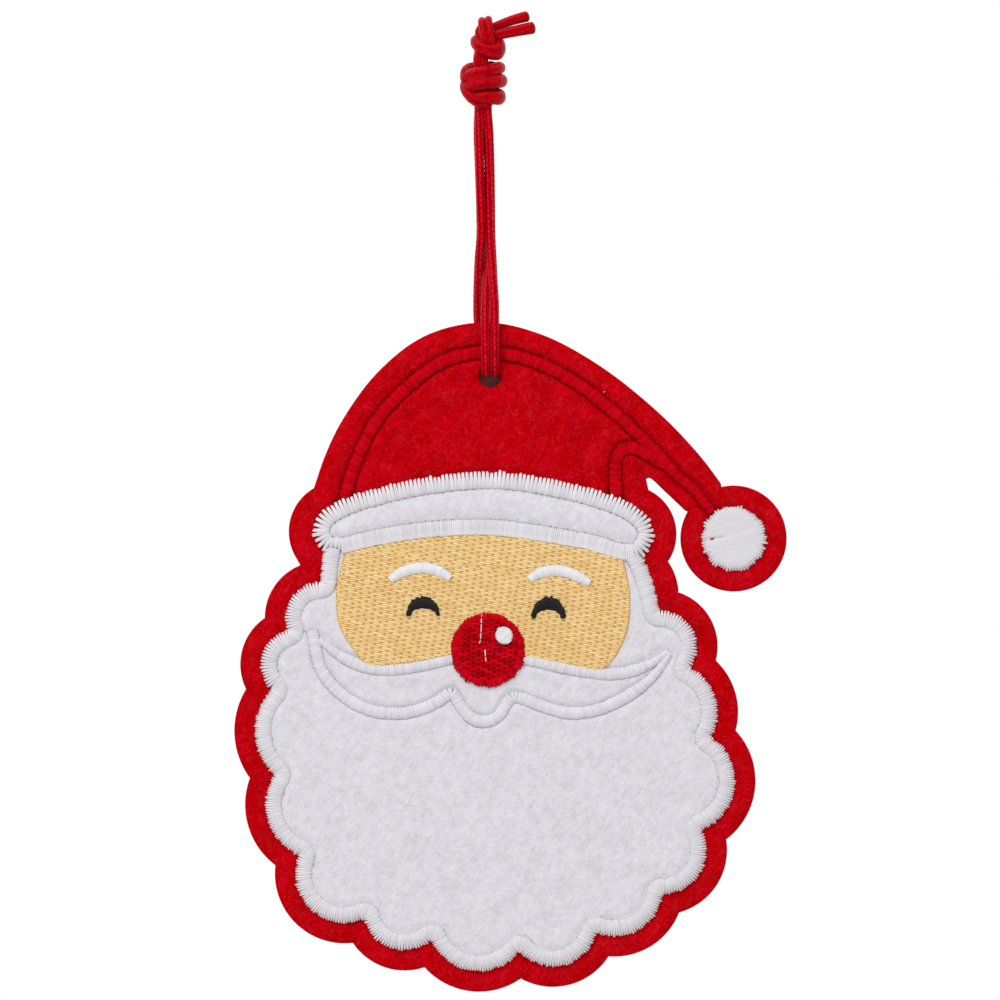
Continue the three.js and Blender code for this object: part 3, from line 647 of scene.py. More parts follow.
# The scalloped edge moved inwards: lobes shrink, and arcs round the cusps join them. At no inset
# the joins stay on the cusps, so that two insets give twin lines
def scallops(inset, lobeSteps=24, joinSteps=12):
    first = angleTo(lobeCentre, cusps[:-1])
    last = past(first, angleTo(lobeCentre, cusps[1:]))
    share = np.linspace(0, 1, lobeSteps)
    lobes = onCircle(
        lobeCentre[:, None], (lobeRadius - inset)[:, None] * np.ones(lobeSteps),
        first[:, None] + (last - first)[:, None] * share,
    )
    turn = angleTo(cusps[1:-1], lobeCentre[1:])
    begin = past(turn, angleTo(cusps[1:-1], lobeCentre[:-1]))
    share = np.linspace(0, 1, joinSteps)
    joins = onCircle(
        cusps[1:-1, None], np.full((len(turn), joinSteps), inset),
        begin[:, None] + (turn - begin)[:, None] * share,
    )
    woven = np.concatenate([lobes[:-1], joins], 1).reshape(-1, 2)
    return np.vstack([woven, lobes[-1]])


# The scalloped edge moved outwards: lobes grow and meet where their circles cross
def grownScallops(margin, first, last, steps=24):
    centre, radius = lobeCentre[1:-1], lobeRadius[1:-1] + margin
    chord = centre[1:] - centre[:-1]
    distance = np.linalg.norm(chord, axis=1)
    along = (distance**2 + radius[:-1] ** 2 - radius[1:] ** 2) / (2 * distance)
    across = np.sqrt(radius[:-1] ** 2 - along**2)
    cross = centre[:-1] + (chord * along[:, None] + rightOf(chord) * across[:, None]) / distance[:, None]
    starts, ends = np.vstack([first, cross]), np.vstack([cross, last])
    begin = angleTo(centre, starts)
    end = past(begin, angleTo(centre, ends))
    share = np.linspace(0, 1, steps)
    return onCircle(
        centre[:, None], radius[:, None] * np.ones(steps), begin[:, None] + (end - begin)[:, None] * share
    ).reshape(-1, 2)


# Closed line without the points that lie on the one before
def withoutRepeats(points, leastStep=0.02):
    return points[distanceTo(np.roll(points, 1, 0), points) > leastStep]


pompomStart = angleTo(pompomAt, np.array(tailUnderside[-1]))
pompomEnd = past(pompomStart, angleTo(pompomAt, np.array(hatEdge[0])))
pompomAngles = np.linspace(pompomStart, pompomEnd, 90)
feltOutline = withoutRepeats(np.vstack([
    grownScallops(feltMargin, leftShoulder[1], rightCheek),
    bulgedArc(rightCheek, rightShoulder[0], cheekBulge, steps=8),
    bulgedArc(*rightShoulder, steps=24),
    smoothLine(tailUnderside, steps=8),
    onCircle(pompomAt, np.full(len(pompomAngles), pompomRadius + pompomMargin), pompomAngles),
    smoothLine([*hatEdge, leftShoulder[0]], steps=14),
    bulgedArc(*leftShoulder, steps=24)[:-1],
]))
trimOutline = smoothLine(trimEdge, steps=10, closed=True)
trimUnder = smoothLine(trimEdge[2:9], steps=10)  # its lower edge, left to right
beardOuter = scallops(0)
moustache = {name: smoothLine(points, steps=20) for name, points in moustacheLines.items()}
ridge, fold = (smoothLine(points, steps=20) for points in (ridgeLine, foldLine))


# Closed outline moved inwards, each point square to both stretches that meet there
def movedIn(points, inset):
    right = rightOf(unit(np.roll(points, -1, 0) - points))
    before = np.roll(right, 1, 0)
    return points - inset * (before + right) / (1 + np.sum(before * right, 1, keepdims=True))


# Distance of each point from a line of stretches, open or closed
def lineDistance(points, line, closed=False, blockSize=3000):
    ends = np.roll(line, -1, 0) if closed else line[1:]
    starts = line if closed else line[:-1]
    way = ends - starts
    square = np.maximum(np.sum(way**2, 1), 1e-12)
    nearest = []
    for block in np.array_split(points, max(1, len(points) // blockSize)):
        offset = block[:, None] - starts[None]
        share = np.clip(np.sum(offset * way, 2) / square, 0, 1)
        nearest.append(np.linalg.norm(offset - share[..., None] * way, axis=2).min(1))
    return np.concatenate(nearest)


# Distance of each point from the nearest of several lines
def nearestOf(points, lines):
    return np.min([lineDistance(points, line) for line in lines], axis=0)


# Inside test: a ray to the right crosses the outline an odd number of times
def inside(points, outline):
    x, y = points[:, :1], points[:, 1:]
    x0, y0 = outline[:, 0], outline[:, 1]
    x1, y1 = np.roll(x0, -1), np.roll(y0, -1)
    spans = (y0 <= y) != (y1 <= y)
    crossing = x0 + (y - y0) * (x1 - x0) / np.where(y1 == y0, 1e-9, y1 - y0)
    return np.sum(spans & (crossing > x), 1) % 2 == 1


waverSet = {"waves": 7, "pace": (0.25, 1.1)}  # radians to a mm


# Soft unevenness of the felt: the mean of a few sine waves that cross at random angles
def waver(points, size, seed):
    spread, count = np.random.default_rng(seed), waverSet["waves"]
    angle, phase = spread.uniform(0, np.pi, count), spread.uniform(0, 2 * np.pi, count)
    wave = spread.uniform(*waverSet["pace"], count)
    run = points[:, :1] * np.cos(angle) + points[:, 1:2] * np.sin(angle)
    return size * np.mean(np.sin(run * wave + phase), 1)


# Net of a sheet: rings inside its edges, a grid, and rows beside the creases
netSet = {
    "insets": np.array([0, 0.05, 0.16, 0.36, 0.7]),  # mm
    "rowShare": 0.866, "clearShare": 0.4,  # rows of the grid, and its gap from the rings, in spacings
    "creaseStep": 0.45, "beside": np.array([-0.2, 0.12, 0.4, 0.8]), "shy": 0.2,  # mm
}


# Close rows of points beside stitched lines, where the felt dips; a later line keeps clear of the
# earlier ones
def creaseNet(lines, half, reach):
    rows = []
    for number, line in enumerate(lines):
        even = evenLine(line, netSet["creaseStep"])
        right = rightOf(unit(np.gradient(even, axis=0)))
        one = np.concatenate([[0.5 * half], half + netSet["beside"], [half + reach - netSet["shy"]]])
        offsets = np.concatenate([-one, [0], one])
        net = (even[:, None] + offsets[:, None] * right[:, None]).reshape(-1, 2)
        if number:
            net = net[nearestOf(net, lines[:number]) > half + reach]
        rows.append(net)
    return np.vstack(rows)


# Felt sheet: close rings follow the outline and the hole, a grid fills the rest, closer along the
# creases, and the same net serves the front and the back, which meet in the outer ring. Heights fall
# off round the edge as a quarter ellipse
def feltSheet(name, outline, spacing, frontOf, backOf, roll, material, hole=None, creases=None):
    insets = netSet["insets"]
    edges = [outline] if hole is None else [outline, hole]
    rings = [np.vstack([movedIn(edges[0], inset) for inset in insets])]
    rings += [np.vstack([movedIn(edge, -inset)[::-1] for inset in insets]) for edge in edges[1:]]
    counts = [len(edge) for edge in edges]
    inner = [ring[-count:] for ring, count in zip(rings, counts)]
    low, high = outline.min(0), outline.max(0)
    across = np.arange(low[0], high[0], spacing)
    along = np.arange(low[1], high[1], spacing * netSet["rowShare"])
    grid = np.stack(np.meshgrid(across, along), -1)
    grid[1::2, :, 0] += spacing / 2
    grid = grid.reshape(-1, 2)
    if creases:
        lines, half, reach = creases
        grid = np.vstack([grid[nearestOf(grid, lines) > half + reach], creaseNet(lines, half, reach)])
    grid = grid[inside(grid, inner[0])]
    for edge in inner[1:]:
        grid = grid[~inside(grid, edge)]
    clear = np.min([lineDistance(grid, edge, True) for edge in inner], axis=0)
    grid = grid[clear > netSet["clearShare"] * spacing]
    flat = np.vstack([*inner, grid])
    links, base = [], 0
    for count in counts:
        links += [(base + k, base + (k + 1) % count) for k in range(count)]
        base += count
    made = delaunay_2d_cdt([Vector(p) for p in flat.tolist()], links, [], 0, 1e-6, True)
    origin = np.array([ids[0] for ids in made[3]])
    faces = origin[np.array([list(f) for f in made[2]])]
    middle = flat[faces].mean(1)
    kept = inside(middle, inner[0])
    for edge in inner[1:]:
        kept &= ~inside(middle, edge)

    # ring points come first, ring by ring; the grid's own points follow
    points = np.vstack([*rings, grid])
    starts = np.cumsum([0] + [len(ring) for ring in rings])
    last = [start - count + np.arange(count) for start, count in zip(starts[1:], counts)]
    number = np.concatenate([*last, starts[-1] + np.arange(len(grid))])
    gridGap = np.min([lineDistance(grid, edge, True) for edge in edges], axis=0)
    edgeGap = np.concatenate([np.repeat(insets, count) for count in counts] + [gridGap])
    front, back = frontOf(points, edgeGap), backOf(points, edgeGap)
    fall = np.sqrt(1 - (1 - np.clip(edgeGap / roll, 0, 1)) ** 2)
    mid = (front + back) / 2
    top = np.column_stack([points, mid + (front - mid) * fall])
    bottom = np.column_stack([points, mid + (back - mid) * fall])

    # the outer ring belongs to both sides
    outer = np.concatenate([start + np.arange(count) for start, count in zip(starts, counts)])
    below = len(points) + np.arange(len(points))
    below[outer] = outer
    used = np.concatenate([np.arange(len(points)), len(points) + np.setdiff1d(np.arange(len(points)), outer)])
    renumber = np.zeros(2 * len(points), int)
    renumber[used] = np.arange(len(used))
    strips = np.concatenate([start + ringFaces(len(insets), count) for start, count in zip(starts, counts)])
    triangles = number[faces[kept]]
    one, two, three = (points[triangles[:, k]] for k in range(3))
    triangles = np.where(np.cross(two - one, three - one)[:, None] < 0, triangles[:, ::-1], triangles)
    shells = [strips, triangles, below[strips][:, ::-1], below[triangles][:, ::-1]]
    allPoints = np.vstack([top, bottom])[used]
    return addMesh(name, feltToWorld(allPoints), [renumber[shell] for shell in shells], material)


# Side of a sheet at one height
def flatAt(height):
    return lambda points, edgeGap: np.full(len(points), height)


# Flat cloth without a hole, between two heights
def flatCloth(name, outline, cloth, material, body, slot):
    top, under = flatAt(cloth["top"]), flatAt(cloth["under"])
    piece = feltSheet(name, outline, cloth["spacing"], top, under, cloth["roll"], material)
    return dress(piece, body, slot)


# Felt finish: mottled wool, drawn out into faint slanting streaks, with curling fibres, which are the
# level lines of a twisted noise
def feltMaterial(name, settings):
    material, shader = newMaterial(name, roughness=0.95)
    place = objectPlace(shader)
    slanting = addNode(
        shader, "ShaderNodeMapping", {"Vector": place},
        vector_type="TEXTURE", Rotation=(0, math.radians(35), 0), Scale=(1, 1, 6),
    ).outputs[0]
    mottle = noise(shader, place, settings["mottle"], detail=4.0, Roughness=0.6)
    streaks = noise(shader, slanting, settings["streaks"])
    fine = noise(shader, place, settings["fine"], detail=4.0, Roughness=0.7)
    curls = noise(shader, place, settings["curls"], detail=2.0, Distortion=1.6)
    ground = ramp(
        shader, mottle, (0.32, settings["dark"]), (0.5, settings["colour"]), (0.7, settings["light"]),
    )
    most = settings["hairShare"]
    hair = ramp(shader, curls, (0.47, 0.0), (0.495, most), (0.505, most), (0.53, 0.0))
    haired = blendColours(shader, hair, ground, settings["hair"])
    grain = ramp(shader, fine, (0.25, settings["grain"]), (0.7, 1.0))
    streaked = ramp(shader, streaks, (0.3, settings["streak"]), (0.65, 1.0))
    colour = blendColours(shader, 1, haired, grain, "MULTIPLY")
    join(shader, blendColours(shader, 1, colour, streaked, "MULTIPLY"), "Base Color")
    heights = addNode(shader, "ShaderNodeMath", {0: fine, 1: streaks}, operation="ADD").outputs[0]
    addBump(shader, heights, settings["bump"], distance=0.0003)
    shader.inputs["Sheen Weight"].default_value = settings["sheen"]
    shader.inputs["Sheen Roughness"].default_value = 0.4
    shader.inputs["Sheen Tint"].default_value = settings["light"]
    return material


redFelt = feltMaterial("redFelt", {
    "colour": tint(209, 0, 14), "dark": tint(194, 0, 7), "light": tint(220, 4, 24),
    "hair": tint(236, 60, 80),
    "mottle": 330.0, "streaks": 1500.0, "fine": 2600.0, "curls": 420.0,
    "hairShare": 0.22, "grain": 0.72, "streak": 0.82, "bump": 0.6, "sheen": 0.12,
})
whiteFelt = feltMaterial("whiteFelt", {
    "colour": tint(226, 224, 230), "dark": tint(219, 213, 220), "light": tint(232, 231, 236),
    "hair": tint(242, 242, 245),
    "mottle": 640.0, "streaks": 2000.0, "fine": 2200.0, "curls": 900.0,
    "hairShare": 0.34, "grain": 0.9, "streak": 0.93, "bump": 0.35, "sheen": 0.05,
})


# Plain matt cloth, webbed between two tones
def webMaterial(name, dark, light, scale):
    material, shader = newMaterial(name, roughness=0.9)
    web = noise(shader, objectPlace(shader), scale, detail=4.0, Distortion=1.0)
    join(shader, ramp(shader, web, (0.3, dark), (0.7, light)), "Base Color")
    return material


# Red sheets. The front one sinks under the hat's stitched lines and puffs up beside them; a bell's
# height, middle and reach, and a waver's size and seed, stand together
sheetSet = {
    "thickness": 1.5, "backing": 0.25, "front": 0.8, "back": 1.3, "roll": 0.62, "creaseReach": 1.2,
    "lineSink": (-0.6, 0, 0.36), "linePuff": (0.24, 2.0, 1.3), "pompomSink": (-0.4, 0, 0.7),
    "whiteSink": (-0.35, 0, 0.9), "edgeSink": (-0.28, 0, 1.1), "frontWaver": (0.16, 3),
    "backEdge": (0.25, 0, 1.1), "backWaver": (0.1, 5),
}


# Front face: thickness and waver, with bells over the distance from the hat's lines, the pompom's rim,
# the white pieces' edges and the outline
def redTop(points, edgeGap):
    near = np.maximum(nearestOf(points, [ridge, fold]) - ridgeWidth / 2, 0)
    rim = np.abs(distanceTo(pompomAt, points) - pompomRadius)
    white = np.minimum(lineDistance(points, beardOuter), lineDistance(points, trimOutline, True))
    top = sheetSet["thickness"] + waver(points, *sheetSet["frontWaver"])
    top += bell(near, *sheetSet["lineSink"]) + bell(near, *sheetSet["linePuff"])
    top += bell(rim, *sheetSet["pompomSink"]) + bell(white, *sheetSet["whiteSink"])
    return top + bell(edgeGap, *sheetSet["edgeSink"])


# Back face: the back sheet's depth and waver, drawn in by a bell along the outline
def backTop(points, edgeGap):
    behind = -sheetSet["backing"] - sheetSet["thickness"] + waver(points, *sheetSet["backWaver"])
    return behind + bell(edgeGap, *sheetSet["backEdge"])


hole = disc(holeAt, holeRadius, count=72)
frontFelt = feltSheet(
    "frontFelt", feltOutline, sheetSet["front"], redTop, flatAt(0), sheetSet["roll"], redFelt, hole,
    ([ridge, fold], ridgeWidth / 2, sheetSet["creaseReach"]),
)
dress(frontFelt, "ornament", "red_felt", "front_felt")
backFelt = feltSheet(
    "backFelt", feltOutline, sheetSet["back"], flatAt(-sheetSet["backing"]), backTop, sheetSet["roll"],
    redFelt, hole,
)
dress(backFelt, "ornament", "red_felt", "back_felt")

# Stabiliser: thin cloth between the sheets, from the beard's stitching up to the hat's ridge
liningSet = {"inset": 1.2, "ridgeReach": 30.3, "spacing": 3.0, "roll": 0.1}
# its grey tones are painted shade, for where the sheet shows in the hole
backing = webMaterial("greyBackingPaintedShade", tint(84, 72, 78), tint(128, 116, 120), 900.0)
lining = ridge[ridge[:, 0] < liningSet["ridgeReach"]][::-1]
liningOutline = withoutRepeats(np.vstack([scallops(liningSet["inset"]), lining]))
stabiliser = feltSheet(
    "stabiliserCloth", liningOutline, liningSet["spacing"], flatAt(0), flatAt(-sheetSet["backing"]),
    liningSet["roll"], backing, hole,
)
dress(stabiliser, "ornament", "backing", "stabiliser")

# Hole shade: a round of dark cloth that the cord pierces and turns, held by the wall of the hole; it is
# painted shade, a dark sheet put where the hole shows only shade
holeShadeSet = {"tuck": 0.1, "top": -0.7, "under": -1.0, "spacing": 0.5, "roll": 0.12}
holeShadeCloth = webMaterial("holeShadeCloth", tint(110, 56, 60), tint(134, 76, 80), 2500.0)
flatCloth("holeShadeDisc", disc(holeAt, holeRadius + holeShadeSet["tuck"]), holeShadeSet, holeShadeCloth, "loop", "backing")
print("red felt,", len(frontFelt.data.polygons), "faces in front")

# White felt: the beard and the hat's trim, sunk under their satin stitches and soft between them
whiteSet = {
    "under": 1.5, "thickness": 1.0, "beardTuck": 0.55, "trimTuck": 1.1, "spacing": 0.75, "roll": 0.6,
    "creaseReach": 1.1, "upperEnd": -36.6, "underTrim": 0.8, "edgeStep": 0.5,
    "stair": (0.28, 0.2, 0.14),  # depth, place inside the border's edge, and softness
    "lineSink": (-0.28, 0, 0.34), "linePuff": (0.12, 1.5, 0.9), "borderPuff": (0.12, 1.4, 0.8),
    "trimPuff": (0.3, 0, 1.5), "beardWaver": (0.12, 9), "trimWaver": (0.1, 10),
}


# White level: the felt's top with a waver, less a stair down under the border, which is a depth over one
# plus the exponential of the distance from its place, in softnesses
def whiteLevel(points, inner, size, seed):
    depth, place, softness = whiteSet["stair"]
    level = whiteSet["under"] + whiteSet["thickness"] + waver(points, size, seed)
    return level - depth / (1 + np.exp((inner - place) / softness))


# Beard: the white level, with bells over the distance from the moustache lines and from the border
def beardTop(points, edgeGap):
    near = np.maximum(nearestOf(points, moustache.values()) - moustacheWidth / 2, 0)
    inner = edgeGap - (borderWidth - whiteSet["beardTuck"])
    top = whiteLevel(points, inner, *whiteSet["beardWaver"])
    top += bell(near, *whiteSet["lineSink"]) + bell(near, *whiteSet["linePuff"])
    return top + bell(inner, *whiteSet["borderPuff"])


# Trim: the white level, and inside the border a puff that grows as its height less its bell
def trimTop(points, edgeGap):
    inner = edgeGap - (trimBorderWidth - whiteSet["trimTuck"])
    puff = whiteSet["trimPuff"]
    return whiteLevel(points, inner, *whiteSet["trimWaver"]) + puff[0] - bell(np.maximum(inner, 0), *puff)


tucked = scallops(whiteSet["beardTuck"])
tucked = tucked[tucked[:, 1] < whiteSet["upperEnd"]]
beardOutline = np.vstack([tucked, trimUnder[::-1] + np.array([0, whiteSet["underTrim"]])])
beardOutline = evenOutline(beardOutline, whiteSet["edgeStep"])
whiteUnder = flatAt(whiteSet["under"])
beardFelt = feltSheet(
    "beardFelt", beardOutline, whiteSet["spacing"], beardTop, whiteUnder, whiteSet["roll"], whiteFelt,
    creases=(list(moustache.values())[::-1], moustacheWidth / 2, whiteSet["creaseReach"]),
)
dress(beardFelt, "ornament", "white_felt", "beard_felt")
trimFeltOutline = movedIn(trimOutline, whiteSet["trimTuck"])
trimFelt = feltSheet(
    "trimFelt", trimFeltOutline, whiteSet["spacing"], trimTop, whiteUnder, whiteSet["roll"], whiteFelt,
)
dress(trimFelt, "ornament", "white_felt", "trim_felt")
print("white felt,", len(beardFelt.data.polygons), "faces in the beard")


# Thread finish: twisted yarn, with painted shade where a stitch dives into the cloth, each stitch a little
# lighter or darker than the next; a bare tip is paler, a painted highlight, and gets no painted shade
def threadMaterial(name, settings):
    reflection = settings.get("reflection", (1, 1, 1, 1))
    material, shader = newMaterial(name, roughness=0.5, specular=settings["specular"], reflection=reflection)
    along = addNode(shader, "ShaderNodeUVMap", uv_map="along").outputs[0]
    share = addNode(shader, "ShaderNodeSeparateXYZ", {0: along}).outputs["X"]
    outerDive = 0.0 if "tip" in settings else 1.0
    # where the thread goes into the cloth: painted shade towards the deep colour
    dive = ramp(shader, share, (0, outerDive), (settings["dive"], 0.0), (1 - settings["dive"], 0.0), (1, 1.0))
    own = addNode(shader, "ShaderNodeAttribute", attribute_name="shade").outputs["Fac"]
    body = ramp(shader, own, (0, settings["dark"]), (1, settings["light"]))
    # painted highlight: the bare tip turns paler towards its end
    if "tip" in settings:
        paintedTipHighlight = ramp(shader, share, (0, 1.0), (settings["tipReach"], 0.0))
        body = blendColours(shader, paintedTipHighlight, body, settings["tip"])
    join(shader, blendColours(shader, dive, body, settings["deep"]), "Base Color")
    twist = addNode(
        shader, "ShaderNodeTexWave", {"Vector": along}, Scale=5.0, Distortion=0.6, bands_direction="DIAGONAL",
    )
    addBump(shader, twist.outputs["Fac"], strength=0.22, distance=0.00006)
    shader.inputs["Sheen Weight"].default_value = 0.06
    shader.inputs["Sheen Tint"].default_value = settings["light"]
    return material


# Kinds of thread: slot, screen colours when dark, light and deep (the painted shade where a stitch dives),
# share of a stitch that dives, shine
threadRows = {
    # white, border and bright are one white thread in darker and lighter copies, tuned to how bright each
    # part renders under the lamp: painted light
    "white": ("white_thread", (216, 213, 219), (230, 228, 233), (202, 192, 200), 0.1, 0.1),
    "border": ("white_thread", (214, 211, 216), (228, 226, 231), (198, 186, 194), 0.08, 0.1),
    "bright": ("white_thread", (226, 225, 229), (240, 239, 242), (206, 200, 204), 0.08, 0.1),
    "red": ("red_thread", (164, 0, 9), (222, 5, 31), (121, 0, 6), 0.14, 0.1),
    "hat": ("red_thread", (188, 0, 14), (220, 5, 30), (122, 0, 6), 0.14, 0.1),
    "tan": ("tan_thread", (236, 200, 136), (248, 220, 164), (206, 148, 58), 0.2, 0.1),
    "fluff": ("white_thread", (216, 213, 219), (225, 223, 228), (200, 194, 201), 0.05, 0.0),
    "black": ("black_thread", (14, 13, 13), (24, 23, 24), (6, 6, 6), 0.1, 0.2),
}
threadSets = {}
for name, (slot, dark, light, deep, dive, specular) in threadRows.items():
    threadSets[name] = {"slot": slot, "dive": dive, "specular": specular}
    threadSets[name].update(dark=tint(*dark), light=tint(*light), deep=tint(*deep))
# the border's bare tips get a painted highlight
threadSets["border"].update(tip=tint(244, 243, 246), tipReach=0.42)
for name in ("red", "hat"):
    threadSets[name]["reflection"] = (1, 0.2, 0.25, 1)
threads = {name: threadMaterial(name + "Thread", settings) for name, settings in threadSets.items()}
plainTaper = [(0, 0.5), (0.15, 1), (0.85, 1), (1, 0.5)]
satinSteps = 9
unevenSet = {"tooth": (0.85, 0.4), "height": 0.02}  # a tooth's own share and its threads' shares; mm


# Values along a thread: straight stretches between the shares and values of a list
def profile(stops, steps):
    return np.interp(np.linspace(0, 1, steps), *np.array(stops).T)


# Paths of flat points and their heights, which may be one for all
def raised(flat, height):
    return np.concatenate([flat, np.broadcast_to(height, flat.shape[:2])[..., None]], 2)


# Middle of each thread, seen from the front
def middles(paths):
    return paths[:, paths.shape[1] // 2, :2]


# Many threads at once: each path carries rings of an ellipse, wide along the cloth and flat upwards,
# scaled by factors along the thread
def threadSurface(paths, wide, high, scale, sides):
    count, steps = paths.shape[:2]
    way = unit(np.gradient(paths, axis=1))
    side = unit(np.cross(np.array([0, 0, 1.0]), way))
    lift = np.cross(way, side)
    share = np.linspace(0, 1, steps)
    angle = 2 * np.pi * np.arange(sides) / sides
    reach = wide * np.cos(angle)[:, None] * side[:, :, None]
    reach = reach + high * np.sin(angle)[:, None] * lift[:, :, None]
    points = paths[:, :, None] + scale[..., None, None] * reach
    base = (np.arange(count) * steps * sides)[:, None, None]
    tubes = (base + ringFaces(steps, sides)[None]).reshape(-1, 4)
    first = base[:, 0] + np.arange(sides)
    caps = np.concatenate([first[:, ::-1], first + (steps - 1) * sides])
    length = np.linalg.norm(np.diff(paths, axis=1), axis=2).sum(1)[:, None, None]
    uv = np.stack(np.broadcast_arrays(share[None, :, None], angle[None, None, :] / (2 * np.pi) + length), -1)
    shade = np.repeat(chance.random(count), steps * sides)
    return points.reshape(-1, 3), [tubes, caps], uv.reshape(-1, 2), {"shade": shade}


# A piece of threads; the taper is a list of shares and factors, or one row of factors per thread
def threadPiece(name, paths, material, wide, high, taper=plainTaper, sides=6):
    scale = taper if isinstance(taper, np.ndarray) else profile(taper, paths.shape[1])
    points, faces, uv, marks = threadSurface(paths, wide, high, scale, sides)
    return addMesh(name, feltToWorld(points), faces, material, uv, marks)


# Sewn piece: threads of one kind, with that kind's finish; it stands for the CAD node of its name, if
# there is one
def sew(name, paths, thread, stitch, taper=None):
    taper = stitch.get("taper", plainTaper) if taper is None else taper
    piece = threadPiece(pieceName(name), paths, threads[thread], stitch["wide"], stitch["high"], taper)
    nodes = [name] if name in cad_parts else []
    return dress(piece, "ornament", threadSets[thread]["slot"], *nodes)


# Satin stitch: threads lie side by side from a first edge to its twin. Every two share a tooth at the
# first edge, their ends drawn together by a share of the pitch and moved along by the slant. The teeth
# differ in length, and along a thread the height follows a list of shares and heights
def satinPaths(first, second, stitch):
    run = runningLength(first + (second - first) * stitch.get("pitchAt", 0.5))
    at = np.arange(stitch["pitch"] / 4, run[-1], stitch["pitch"] / 2)
    odd = np.arange(len(at)) % 2
    pull = stitch["pinch"] * stitch["pitch"] * (1 - 2 * odd) + stitch.get("slant", 0)
    start = pointsAt(first, run, np.clip(at + pull, 0, run[-1]))
    end = pointsAt(second, run, at)
    way = unit(end - start)
    shared, own = unevenSet["tooth"]
    tooth = np.repeat(chance.normal(0, 1, len(at) // 2 + 1), 2)[: len(at), None]
    start = start + way * stitch["ragged"][0] * (shared * tooth + own * chance.normal(0, 1, tooth.shape))
    end = end + way * stitch["ragged"][1] * chance.normal(0, 1, tooth.shape)
    flat = between(start, end, np.linspace(0, 1, satinSteps))
    height = profile(stitch["rise"], satinSteps) + chance.normal(0, unevenSet["height"], (len(flat), 1))
    return raised(flat, height)


# Twin edges of a stitched line: its middle moved to both sides by half its width, less at the tips
def twinEdges(line, width, tips, least=0.5):
    run = runningLength(line)
    share = run / run[-1]
    taper = lambda s, tip: np.minimum(1, least + (1 - least) * s / tip) if tip else np.ones(len(s))
    half = width / 2 * np.minimum(taper(share, tips[0]), taper(1 - share, tips[1]))
    right = rightOf(unit(np.gradient(line, axis=0)))
    return line - right * half[:, None], line + right * half[:, None]


# Twin circles of a stitched ring: its rim, and the same circle smaller by the ring's width
def twinCircles(centre, radius, width, steps=240):
    angle = np.linspace(0, 2 * np.pi, steps)
    return [onCircle(centre, np.full(steps, radius - inset), angle) for inset in (0, width)]


# Beard border, from the red felt outside over the beard's edge to the needle line inside; it ends
# under the trim
fingers = [(0, 0.75), (0.08, 0.88), (0.26, 0.95), (0.38, 1.15), (0.85, 1.1), (1, 0.85)]
borderSet = {
    "pitch": 0.36, "pitchAt": 1,  # at the inner edge, so that the stitches stay close round the cusps
    "pinch": 0.13, "wide": 0.17, "high": 0.13, "ragged": (0.12, 0.05), "taper": fingers,
    "rise": [(0, 1.42), (0.1, 1.8), (0.25, 2.4), (0.45, 2.74), (0.7, 2.74), (0.88, 2.5), (1, 2.1)],
    "underTrim": 1.0, "cutStep": 5,
}
paths = satinPaths(beardOuter, scallops(borderWidth), borderSet)
hidden = inside(paths[:, borderSet["cutStep"], :2], movedIn(trimOutline, borderSet["underTrim"]))
sew("beard_border", paths[~hidden], "border", borderSet)

# Trim border: long teeth lie bare on the red above; below, the stitches lie close and round
trimSet = {
    "pitch": 0.8, "pinch": 0.15, "wide": 0.25, "high": 0.13, "ragged": (0.15, 0.05), "taper": fingers,
    "rise": [(0, 1.62), (0.12, 1.85), (0.3, 2.4), (0.48, 2.7), (0.72, 2.76), (0.9, 2.55), (1, 2.2)],
    "edgeStep": 0.25, "soften": 9, "lowReach": 29.5,
}
lowSet = {
    "pitch": 0.8, "pinch": 0, "ragged": (0.04, 0.05),
    "rise": [(0, 2.45), (0.1, 2.72), (0.25, 2.9), (0.5, 2.98), (0.75, 2.9), (0.9, 2.7), (1, 2.3)],
    "taper": [(0, 0.85), (0.15, 1), (0.85, 1), (1, 0.85)],
}


# Inner twin of a closed outline: each point goes inwards along a direction averaged over its neighbours
def softTwin(outline, inset, soften):
    inward = -rightOf(unit(np.roll(outline, -1, 0) - np.roll(outline, 1, 0)))
    spread = np.mean([np.roll(inward, k, 0) for k in range(-soften, soften + 1)], axis=0)
    return outline + unit(spread) * inset


outerEdge = evenOutline(trimOutline, trimSet["edgeStep"])
innerEdge = closedLine(softTwin(outerEdge, trimBorderWidth, trimSet["soften"]))
outerEdge = closedLine(outerEdge)
paths, lowPaths = (satinPaths(outerEdge, innerEdge, stitch) for stitch in (trimSet, lowSet))
lower = (paths[:, 0, 1] < paths[:, -1, 1]) & (np.abs(paths[:, 0, 0]) < trimSet["lowReach"])
paths = np.where(lower[:, None, None], lowPaths, paths)
lowTaper, highTaper = (profile(stitch["taper"], satinSteps) for stitch in (lowSet, trimSet))
sew("trim_border", paths, "border", trimSet, np.where(lower[:, None], lowTaper, highTaper))

# Moustache lines; the upper two end under the nose's rim
moustacheSet = {
    "pitch": 0.62, "pinch": 0.06, "wide": 0.23, "high": 0.13, "ragged": (0.06, 0.05), "underNose": 0.3,
    "taper": [(0, 0.75), (0.12, 1), (0.88, 1), (1, 0.75)],
    "rise": [(0, 2.2), (0.12, 2.52), (0.3, 2.76), (0.5, 2.84), (0.7, 2.76), (0.88, 2.52), (1, 2.2)],
    "tips": {
        "moustache_upper_left": (0.25, 0), "moustache_upper_right": (0, 0.25), "moustache_lower": (0, 0.12),
    },
}
for node, line in moustache.items():
    paths = satinPaths(*twinEdges(line, moustacheWidth, moustacheSet["tips"][node]), moustacheSet)
    clear = distanceTo(noseAt, middles(paths)) > noseRadius - moustacheSet["underNose"]
    sew(node, paths[clear], "white", moustacheSet)

